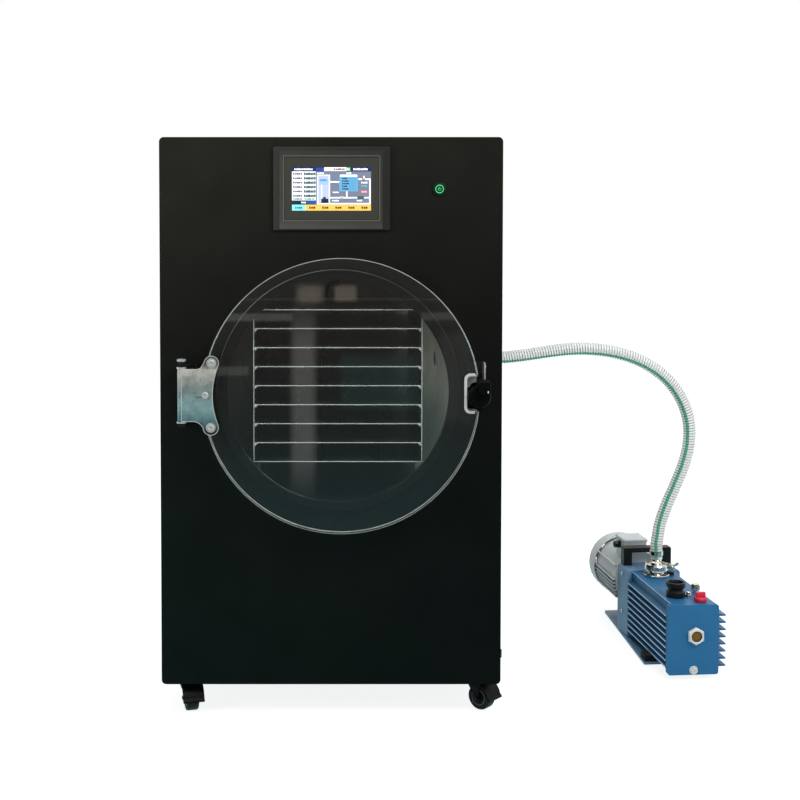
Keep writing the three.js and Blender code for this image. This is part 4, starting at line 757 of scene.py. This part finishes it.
# The picture on the display, in tenths of a millimetre from its upper left corner: (left, top, right, bottom,
# colour).
NAVY, SLATE, WHITE, CYAN, AMBER, TEXT = "#1f2850", "#6b7286", "#eef1f4", "#7fdbe0", "#e9b456", "#4d2a1c"
TILES = [
    (0, 0, 1513, 86, NAVY), (455, 14, 615, 78, "#2c468f"), (617, 8, 1040, 80, WHITE),
    (1042, 12, 1116, 78, "#79b96b"), (0, 88, 455, 640, WHITE), (456, 88, 1513, 720, SLATE),
    (0, 640, 455, 720, "#16303a"), (290, 648, 455, 716, "#27508f"), (0, 722, 258, 835, CYAN),
    (258, 722, 1513, 835, AMBER), (478, 150, 728, 716, WHITE), (500, 168, 706, 700, "#a9b3cc"),
    (512, 222, 694, 344, "#8fb0ea"), (556, 344, 576, 600, WHITE), (728, 274, 905, 300, WHITE),
    (905, 150, 1262, 468, "#6099bd"), (922, 148, 1246, 190, WHITE), (1270, 222, 1340, 250, WHITE),
    (1400, 222, 1500, 250, WHITE), (1478, 222, 1506, 716, WHITE), (728, 576, 1480, 602, WHITE),
    (1036, 468, 1062, 590, WHITE), (728, 690, 1506, 716, WHITE), (1320, 452, 1440, 498, "#d6565a"),
    (560, 610, 700, 690, "#23283a"), (590, 575, 650, 612, "#3a4157"), (1250, 560, 1380, 618, "#3f5a4e"),
    (920, 560, 985, 610, "#b4b1a2"), (1362, 170, 1392, 232, "#d9d2c0"),
]
for top in range(104, 608, 84):
    TILES += [(222, top, 455, top + 58, "#c3d3d3"), (0, top + 62, 455, top + 66, "#c6b9c9")]

# Rows of small marks in place of words: (left, top, right, height, count, colour).
MARKS = []
for row in range(6):
    MARKS += [(20, 112 + row * 84, 200, 40, 5, "#3a3448"), (226, 108 + row * 84, 454, 50, 7, "#0f3136")]
MARKS += [(26, 596, 200, 34, 6, "#3c6a6c"), (240, 596, 440, 34, 6, "#3a8b88"), (45, 28, 400, 34, 12, WHITE),
          (1175, 24, 1450, 40, 8, WHITE), (800, 26, 1020, 36, 6, "#7a2f2a"), (1060, 30, 1100, 30, 2, WHITE),
          (180, 662, 270, 34, 3, WHITE), (480, 106, 620, 30, 6, WHITE), (1040, 104, 1140, 30, 4, WHITE),
          (60, 760, 200, 40, 4, "#2d6b6e")]
for i in range(5):
    MARKS += [(330 + i * 250, 756, 450 + i * 250, 44, 3, TEXT),
              (960, 206 + i * 50, 1060 + 24 * (i % 3), 28, 4, "#1d3b5c"),
              (1090, 206 + i * 50, 1230, 26, 4, "#4b8fb8")]
MARKS += [
    (540, 238, 670, 30, 5, "#4a6db8"), (780, 470, 900, 30, 5, "#f3dfe6"), (770, 630, 900, 30, 5, WHITE),
    (1240, 628, 1350, 30, 4, WHITE), (1325, 284, 1450, 34, 4, WHITE), (1325, 352, 1440, 30, 4, "#4fb6b2"),
    (1335, 462, 1430, 26, 3, "#f7c9c4"),
]
for left, top, right, height, count, color in MARKS:
    step = (right - left) / count
    for i in range(count):
        # The i-th mark fills 0.7 to 0.9 of its share, and every third one hangs a little lower.
        x, y = left + i * step, top + (i * 5 % 3) * height * 0.08
        TILES.append((x, y, left + (i + 0.7 + 0.25 * (i * 7 % 5) / 5) * step, top + height, color))


def picture():
    """The lit picture: each tile is a thin plate whose corners carry its colour, later ones farther out."""
    points, faces, colors = [], [], []
    for order, (left, top, right, bottom, color) in enumerate(TILES):
        x0, x1 = -74.9 + left / 10, -74.9 + right / 10
        z0, z1 = 1070 - bottom / 10, 1070 - top / 10
        start = len(points)
        for w in (5.52 + 0.0012 * order, 5.45):
            points += [(x0, z0, w), (x1, z0, w), (x1, z1, w), (x0, z1, w)]
        quad = (start, start + 1, start + 2, start + 3)
        faces.append(quad)
        faces += [(quad[i] + 4, quad[(i + 1) % 4] + 4, quad[(i + 1) % 4], quad[i]) for i in range(4)]
        faces.append(tuple(i + 4 for i in quad)[::-1])
        colors += [linear(color)] * 8
    mesh = mesh_of("screen_picture", placed((np.array(points, float), faces), FRONT), CABINET)
    tint = mesh.color_attributes.new("Tile", "FLOAT_COLOR", "POINT")
    tint.data.foreach_set("color", np.array(colors).ravel())
    return mesh


def lit_screen():
    """The picture's material: each tile glows in the colour its corners carry, with a faint fine grain."""
    n = Nodes(bpy.data.materials.new("lit_picture"))
    tint = n.add("VertexColor", layer_name="Tile").outputs["Color"]
    shade = n.mix(n.ramp(n.noise(0.6, 1), 0.3, 0.7, 0.93, 1), (0, 0, 0, 1), tint)
    n.fill(Base_Color=shade, Emission_Color=shade, Emission_Strength=0.6, Roughness=0.25,
           Specular_IOR_Level=0.2)
    return n.owner


lit = picture()
lit.materials.append(lit_screen())
in_scene("screen_picture", lit, "cabinet")

BUTTON = (207.8, 0, 1027.8)
head = [(0, -12), (6.45, -12), (6.45, 3.5), (12, 3.5), (12.8, 3), (13, 2.4), (13, 0.3), (11, 0.3),
        (11, -40), (0, -40)]
make("button_head", "black_plastic", button_rim, turned(head, 48, at=BUTTON), node="button_housing")
make("button_light", "black_plastic", green_light,
     turned([(6.7, 3.3), (8, 3.3), (8, 3.75), (7.8, 3.9), (6.9, 3.9), (6.7, 3.75)], 48, at=BUTTON))
make("button_cap", "black_plastic", green_cap,
     turned([(0, -9), (6.2, -9), (6.2, 3.5), (5.8, 4), (5, 4.1), (0, 4.1)], 40, at=BUTTON),
     body="start_button", node="power_button")
ring_open = arc(0, 0, 2.9, 125, 415, 24) + arc(0, 0, 2.2, 55, -235, 24)
make("button_sign", "black_plastic", green_light, raised(ring_open, 4.05, 4.3, at=BUTTON),
     raised(rounded(-0.4, 0.4, 0.6, 3.6, 0.3, 3), 4.05, 4.3, at=BUTTON), body="start_button")

# ---- cooling unit, outlet and drain

refine("compressor", pot_paint, 2, 3)
refine("condenser", aluminium, 0.4)
refine("fan_shroud", frame_paint, 0.4)
refine("condenser_fan", plastic, 0.6)
refine("drain_valve", plastic, 0.6)
pipe, _ = spline([(-120, 335, 300), (-120, 335, 330), (-90, 335, 345), (40, 335, 345), (140, 335, 345),
                  (143, 335, 335), (143, 335, 326)], 4)
make("refrigerant_pipe", "stainless", copper, tube(pipe, 4, 14))
OUTLET = (0, 450, 659.7)
barb = [(10, 242), (13, 242), (13, 330.3), (22.4, 330.3), (23, 331), (23, 335.6), (22.4, 336.3), (14, 338.3),
        (13, 339), (13, 349.5), (12, 352), (13.2, 356), (12, 357.5), (12, 364), (13.2, 368), (12, 369.5),
        (12, 376), (13.2, 380), (12, 381.5), (12, 391), (11.4, 392), (10, 392)]
make("outlet_fitting", "stainless", steel, turned(barb, 48, RIGHT, OUTLET),
     raised(hexagon(18.8), 338.5, 349.2, 0.8, RIGHT, OUTLET), node="hose_outlet")
# A worm-drive clip: a band, its screw's housing on top and the slotted screw through it.
clip = joined(lathe(band(14.1, 14.9, -4.5, 4.5), 48),
              prism(rounded(-6, 6, 14.6, 20.5, 1.5), -5, 5, 0.6),
              raised(hexagon(3.6), 6, 11, 0.5, RIGHT, (0, 17.8, 0)))
make("hose_clip_cabinet", "stainless", chrome, placed(clip, RIGHT, (368, 450, 659.7)))
DRAIN = (0, 70, 102.4)
make("drain_dial", "black_plastic", plastic,
     turned([(0, 331.5), (7, 331.5), (7, 337.4), (6.4, 338.8), (5, 339.5), (0, 339.5)], 40, RIGHT, DRAIN),
     turned(band(0, 4, 321, 332), 20, RIGHT, DRAIN),
     raised(rounded(-1.8, 1.8, -8.5, 8.5, 1.2), 338.8, 341.5, 0.5, RIGHT, DRAIN),
     body="drain_tap", node="drain_knob")

# ---- casters

WHEEL = (0, -22, 25)
tyre = [(4.6, -12), (17, -12), (18, -10.6), (22, -12), (24, -11.2), (25, -8.5)]
hub = [(4.7, -12.4), (9, -12.4), (14, -11.9)]
tyre, hub = (half + [(r, -s) for r, s in half[::-1]] for half in (tyre, hub))
rings = [turned(band(14.4, 15.6, w, w + 0.3), 48, RIGHT, WHEEL) for w in (-12.2, 11.9)]
axle = [placed(screw(4.4, 2.2), lay, (x, -22, 25)) for x, lay in ((16.8, RIGHT), (-16.8, LEFT))]
for corner in ("front_left", "front_right", "rear_left", "rear_right"):
    # The caster's frame: on the swivel axis at floor level, turned so that the wheel's axle lies along X.
    x, y, _ = joints[f"swivel_turn_{corner}"]["pos_m"]
    spindle = joints[f"wheel_roll_{corner}"]["axis"]
    space = Matrix.Translation((x, y, 0)) @ Matrix.Rotation(math.atan2(spindle[1], spindle[0]), 4, "Z") @ MM
    on_wheel = {"body": f"wheel_{corner}", "space": space}
    refine(f"caster_fork_{corner}", caster_black, 0.6)
    make(f"caster_tyre_{corner}", "tread", tread, turned(tyre, 64, RIGHT, WHEEL), **on_wheel,
         node=f"caster_wheel_{corner}")
    make(f"caster_hub_{corner}", "tread", caster_black, turned(hub, 32, RIGHT, WHEEL), **on_wheel)
    make(f"caster_ring_{corner}", "tread", ring_grey, *rings, **on_wheel)
    make(f"caster_axle_{corner}", "zinc", dark_steel, *axle, body=f"swivel_{corner}", space=space)
    if corner.startswith("front"):
        refine(f"caster_brake_{corner}", caster_black, 1, 3)

# ---- vacuum pump

refine("pump_base", bracket_blue, 1.6, 3)
refine("oil_casing", pump_blue, 1, 3)
refine("fan_cover", motor_grey, 0.8)
refine("motor_fan", plastic, 0.5)
refine("carry_handle", plastic, 2, 3)
MOTOR_X, MOTOR_Z, RIB_PITCH = 2, 120, 7.5


def around_motor(radius, start, end, steps):
    return arc(MOTOR_X, MOTOR_Z, radius, start, end, steps)


# The motor's round shell: narrow ribs 6 mm high stand from its left side under it to its right, and the top
# is plain. Dark strips between the ribs are painted shade.
shell, rib_gap_shade = [], []
for middle in np.arange(177, 364, RIB_PITCH):
    for off, radius in ((-1.5, 63.6), (-1.1, 69.6), (1.1, 69.6), (1.5, 63.6)):
        shell += around_motor(radius, middle + off, middle + off, 0)
for middle in np.arange(177, 350, RIB_PITCH):
    start, end = middle + 1.7, middle + 5.8
    gap = around_motor(64.3, start, end, 3) + around_motor(63.3, end, start, 3)
    rib_gap_shade.append(raised(gap, -487, -338))
on_pump("motor_shell", "motor_grey", motor_grey, raised(shell + around_motor(66, 7, 172, 48), -487.4, -337.7),
        brick((-39.5, 15.5), (341.6, 403.6), (170, 212.8), 2), node="motor_housing")
on_pump("motor_rib_gap_shade", "motor_grey", rubber, *rib_gap_shade)
tie_rods = [turned(band(0, 2.2, -487, -338), 12, at=(x, 0, z))
            for degrees in (150, 212) for x, z in around_motor(72, degrees, degrees, 0)]
on_pump("motor_tie_rods", "zinc", zinc, *tie_rods)
LID = 161.3  # the height of the oil casing's lid
INLET = (0, 232, LID)
inlet = [(0, 0), (29, 0), (30, 1), (30, 4), (29, 5), (18, 6), (17, 7.5), (17, 15), (20, 18), (20, 21),
         (14, 24), (12.5, 27), (11, 30), (12.2, 36), (11, 38), (11, 44), (12.2, 48), (11, 50), (11, 60.8),
         (10.4, 62), (0, 62)]
on_pump("inlet_fitting", "chrome", chrome, turned(inlet, 56, UP, INLET), node="inlet_port")
refine("clamp_ring", chrome, 0.8)
half = [(3, -2.2), (4, 2), (13, 5), (16, 9), (12, 12), (4, 7)]
wing = [(-3, -2.2)] + half + [(0, 6.2)] + [(-x, z) for x, z in half[:0:-1]]
on_pump("clamp_wing_nut", "chrome", chrome,
        turned(band(0, 2.6, -22, 16), 20, at=(33, 232, LID + 19.5)),
        raised(wing, -2.4, 2.4, 0.6, at=(33, 220, LID + 20)),
        turned([(0, 0), (5, 0), (4.4, 6), (3.4, 9), (0, 9)], 24, at=(33, 224, LID + 19.5)))
on_pump("hose_clip_pump", "stainless", chrome, placed(clip, UP, (0, 232, LID + 52)))
spool = [(0, 0), (19, 0), (19.8, 0.8), (19.8, 11.4), (18.8, 12.6), (16.4, 13.4), (15.8, 14.5),
         (15.8, 17.4), (16.4, 18.8), (19.6, 21), (20.3, 22.4), (20.3, 31), (19.4, 32), (16.8, 32), (16, 31),
         (15, 22), (0, 22)]
on_pump("exhaust_spool", "black_plastic", plastic, turned(spool, 64, UP, (-16, 64, LID)),
        node="exhaust_filter")
cap = [(0, 0), (12, 0), (12, 1.6), (13.6, 2.4), (14, 3.4), (14, 7), (12.6, 9), (10.5, 10), (0, 10)]
on_pump("filler_cap", "filler_red", red_cap, turned(cap, 56, UP, (*FILLER, LID)),
        raised(rounded(-11, 11, -3.5, 3.5, 3.2), 9, 20, 1.4, UP, (*FILLER, LID)), body="filler",
        node="oil_filler_cap")
DIAL_X, DIAL_Y, DIAL_R = 37, 88, 9
dial = [(0, 0), (6, 0), (6, 6), (8.4, 6.4), (9, 7.2), (9, 16.8), (8, 19.4), (6.6, 20), (0, 20)]
teeth = [raised(rounded(-0.7, 0.7, -0.5, 0.5, 0.2, 2), 7.6, 16.4, 0, Matrix.Rotation(a, 4, "Z"),
                (DIAL_X + DIAL_R * math.cos(a), DIAL_Y + DIAL_R * math.sin(a), LID))
         for a in np.linspace(0, 2 * math.pi, 24, endpoint=False)]
on_pump("ballast_dial", "chrome", chrome, turned(dial, 48, UP, (DIAL_X, DIAL_Y, LID)), *teeth, body="ballast",
        node="ballast_knob")
on_pump("top_plug", "chrome", chrome, raised(hexagon(7.5), -0.3, 4.5, 0.6, UP, (12, 63, LID)),
        turned([(0, 4), (5, 4), (5, 8), (4, 9.5), (0, 9.5)], 28, UP, (12, 63, LID)))
on_pump("top_cap", "black_plastic", plastic,
        turned([(0, -0.3), (9, -0.3), (9.6, 0.5), (9.6, 6), (8.4, 7.2), (0, 7.2)], 40, UP, (34, 236, LID)))
WINDOW = (4, 0, 96)
ring = [(0, 0.3), (15.6, 7), (15.6, 9), (14.8, 10), (12, 10.2), (11.4, 9.6), (11.4, 6.2), (0, 6.2)]
on_pump("window_ring", "chrome", window_steel, raised(hexagon(19, 30), 0.3, 7.6, 1.2, at=WINDOW),
        turned(ring, 56, at=WINDOW), node="sight_glass")
on_pump("window_glass", "chrome", oil_glass,
        turned([(0, 6.2), (9.6, 6.2), (9.6, 7.6), (8, 8.3), (5, 8.6), (0, 8.7)], 48, at=WINDOW))
on_pump("window_gasket", "black_plastic", rubber,
        turned(band(9.7, 11.3, 6.2, 8.8), 48, at=WINDOW))
PLUG = (0.8, 0, 22)
on_pump("drain_plug", "chrome", nylon,
        turned([(0, 0), (9.3, 0), (9.5, 0.5), (9, 1.8), (0, 1.8)], 40, at=PLUG),
        turned([(0, 1.4), (6.6, 1.4), (6.6, 4), (5.8, 5), (3.4, 5), (3.2, 3.2), (0, 3.2)], 32, at=PLUG))
socket_cap = [(0, 0), (4, 0), (4.2, 0.2), (4.2, 2.1), (3.7, 2.6), (2.31, 2.6), (2.1, 1), (0, 1)]
on_pump("pump_screws", "zinc", chrome, *[turned(socket_cap, 24, lay, (x, 300, z))
                                         for x, lay in ((68, RIGHT), (-56, LEFT)) for z in (148, 60)])


def strips(x0, x1, count, pitch, low, high):
    """Strips along the oil casing's side, one a fin's pitch, from low to high above each fin's foot."""
    feet = [24 + i * pitch for i in range(count)]
    return [brick((x0, x1), (13, 263), (foot + low, foot + high), 0.2) for foot in feet]


FINS_LEFT, FINS_RIGHT = 123 / 9, 123 / 8  # the fins' pitch on either side
# The strips in the fins' gaps are painted shade; the light strips on the fin tips and along the lid's left edge
# are painted highlights.
on_pump("fin_gap_shade_strips", "pump_blue", fin_gap_shade, *strips(-46.1, -45.4, 8, FINS_LEFT, 5, FINS_LEFT - 0.5),
        *strips(49.9, 50.6, 7, FINS_RIGHT, 5, FINS_RIGHT - 0.5))
on_pump("fin_edge_highlight_strips", "pump_blue", fin_edge_highlight, *strips(-56.1, -55.3, 9, FINS_LEFT, 0.6, 3.8),
        *strips(74.8, 75.6, 8, FINS_RIGHT, 0.6, 3.8), brick((-46.1, -44.7), (13, 263), (160.1, 161.4), 0.3))
on_pump("pump_front_pad", "black_plastic", rubber, brick((-71, -50), (95.5, 128), (9.1, 23), 1.5))
on_pump("terminal_box_lid", "motor_grey", motor_grey,
        prism(rounded(-41.5, 17.5, 339.4, 405.6, 3), 211, 217, 1.2))
on_pump("terminal_box_screws", "zinc", zinc,
        *[placed(screw(2.6, 1.6), UP, (x, y, 217)) for x in (-36, 12) for y in (345, 400)])
gland = [(0, 0), (9, 0), (9, 5), (8, 6), (8, 14), (6, 15), (4, 15), (4, 11), (0, 11)]
on_pump("cable_gland", "black_plastic", plastic, turned(gland, 32, LEFT, (-39.5, 374, 199)))

# ---- floor, world and lamps


def floor_material():
    """White to the eye, with the object's shadow kept at part strength. Mirrors see the studio through it."""
    n = Nodes(bpy.data.materials.new("floor"))
    white = n.mix(n.ramp(n.noise(400, 3), 0.3, 0.7, 0.86, 0.9), (0, 0, 0, 1), (1, 1, 1, 1))
    n.fill(Base_Color=white, Roughness=0.9, Specular_IOR_Level=0.1)
    seen = n.seen_straight()
    mirrored = n.math("MULTIPLY", n.math("SUBTRACT", 1, seen), n.in_a_mirror())
    glow = n.out("Emission", {"Color": (0.985, 1, 1, 1), "Strength": 1.28})
    both = n.blend(n.math("MULTIPLY", seen, 0.68), n.shader.outputs[0], glow)
    return n.finish(n.blend(mirrored, both, n.out("BsdfTransparent")))


ground = bpy.data.meshes.new("floor")
ground.from_pydata([(-8, -8, 0), (8, -8, 0), (8, 8, 0), (-8, 8, 0)], [], [(0, 1, 2, 3)])
ground.materials.append(floor_material())
floor = bpy.data.objects.new("floor", ground)
scene.collection.objects.link(floor)


def studio_world():
    """White behind the object to the eye and in its glass. What it mirrors is a studio: bright above and
    behind, dim where the viewer stands, with a few soft boxes in front. Other light is even."""
    n = Nodes(bpy.data.worlds.new("studio"))
    n.tree.nodes.clear()
    toward = n.add("SeparateXYZ", {0: n.add("TexCoord").outputs["Generated"]}).outputs

    def light(color, strength):
        return n.out("Background", {"Color": (*color, 1), "Strength": strength})

    def box(across, up, edge, strength, fade=None):
        """A soft box in front: light where X and Z toward it lie in the given ranges, fading over edge, or
        over fade up and down."""
        value = strength
        for axis, (low, high), soft in (("X", across, edge), ("Z", up, fade or edge)):
            value = n.math("MULTIPLY", value, n.ramp(toward[axis], low - soft, low + soft))
            value = n.math("MULTIPLY", value, n.ramp(toward[axis], high - soft, high + soft, 1, 0))
        return n.math("MULTIPLY", value, n.ramp(toward["Y"], -0.5, -0.4, 1, 0))

    boxes = [
        box((-0.031, -0.013), (-0.19, -0.068), 0.003, 0.66, fade=0.018),
        box((-0.3, -0.03), (0.02, 0.14), 0.03, 0.35), box((-0.086, -0.031), (-0.068, -0.062), 0.001, 0.5),
        box((-0.092, -0.066), (-0.111, -0.104), 0.001, 0.35),
        box((0.072, 0.099), (-0.067, -0.061), 0.001, 0.35),
        box((0.088, 0.111), (-0.148, -0.078), 0.003, 0.12),
        box((0.003, 0.02), (-0.052, -0.04), 0.002, 0.8), box((-0.027, -0.007), (-0.053, -0.04), 0.003, 0.8),
        box((-0.07, 0.113), (-0.0512, -0.0503), 0.0003, 0.35),
    ]
    lit = boxes[0]
    for one in boxes[1:]:
        lit = n.math("ADD", lit, one)
    teal = box((0.008, 0.07), (-0.138, -0.095), 0.002, 0.12)
    above = n.ramp(toward["Z"], 0.25, 0.8, 0, 0.9)
    behind = n.ramp(toward["Y"], -0.35, 0.25, 0.16, 1)
    dim = n.ramp(toward["X"], -0.11, -0.07, 0.6, 1)
    below = n.ramp(toward["Z"], -0.13, -0.24, 0, 0.11)
    room = n.math("ADD", n.math("MULTIPLY", n.math("MAXIMUM", above, behind), dim), below)
    tint = n.mix(n.ramp(toward["Z"], -0.22, -0.08), (0.55, 0.98, 1.05, 1), (1.06, 1, 0.92, 1))
    warmth = n.mix(n.ramp(toward["Z"], -0.062, -0.056), (1, 1, 0.96, 1), (1.1, 0.95, 0.78, 1))
    mirrored = n.out("AddShader", {0: n.out("Background", {"Color": tint, "Strength": room}),
                                   1: n.out("Background", {"Color": warmth, "Strength": lit})})
    mirrored = n.out("AddShader", {0: mirrored, 1: light((0.35, 1, 1.1), teal)})
    first = n.blend(n.in_a_mirror(), light((0.95, 0.98, 1), 0.62), mirrored)
    last = n.blend(n.seen_straight(), first, light((1, 1, 1), 1))
    n.add("OutputWorld")
    scene.world = n.finish(last)


studio_world()


def lamp(name, at, look_at, size, power):
    data = bpy.data.lights.new(name, "AREA")
    configure(data, shape="RECTANGLE", size=size[0], size_y=size[1], energy=power)
    light = bpy.data.objects.new(name, data)
    scene.collection.objects.link(light)
    aim = (Vector(look_at) - Vector(at)).to_track_quat("-Z", "Y")
    configure(light, location=at, rotation_mode="QUATERNION", rotation_quaternion=aim)


lamp("key", (1.6, -2.2, 2.8), (0, 0, 0.6), (1.6, 1.2), 55)
lamp("fill", (-2.4, -1.8, 1.8), (-0.2, 0, 0.6), (1.2, 1.6), 22)
lamp("overhead", (0, 0.6, 3.2), (0, 0.2, 0), (3, 2), 40)

scene.render.engine = "CYCLES"
configure(scene.cycles, max_bounces=16, transmission_bounces=12, transparent_max_bounces=24, glossy_bounces=6,
          diffuse_bounces=4)
scene.view_settings.view_transform = "Standard"
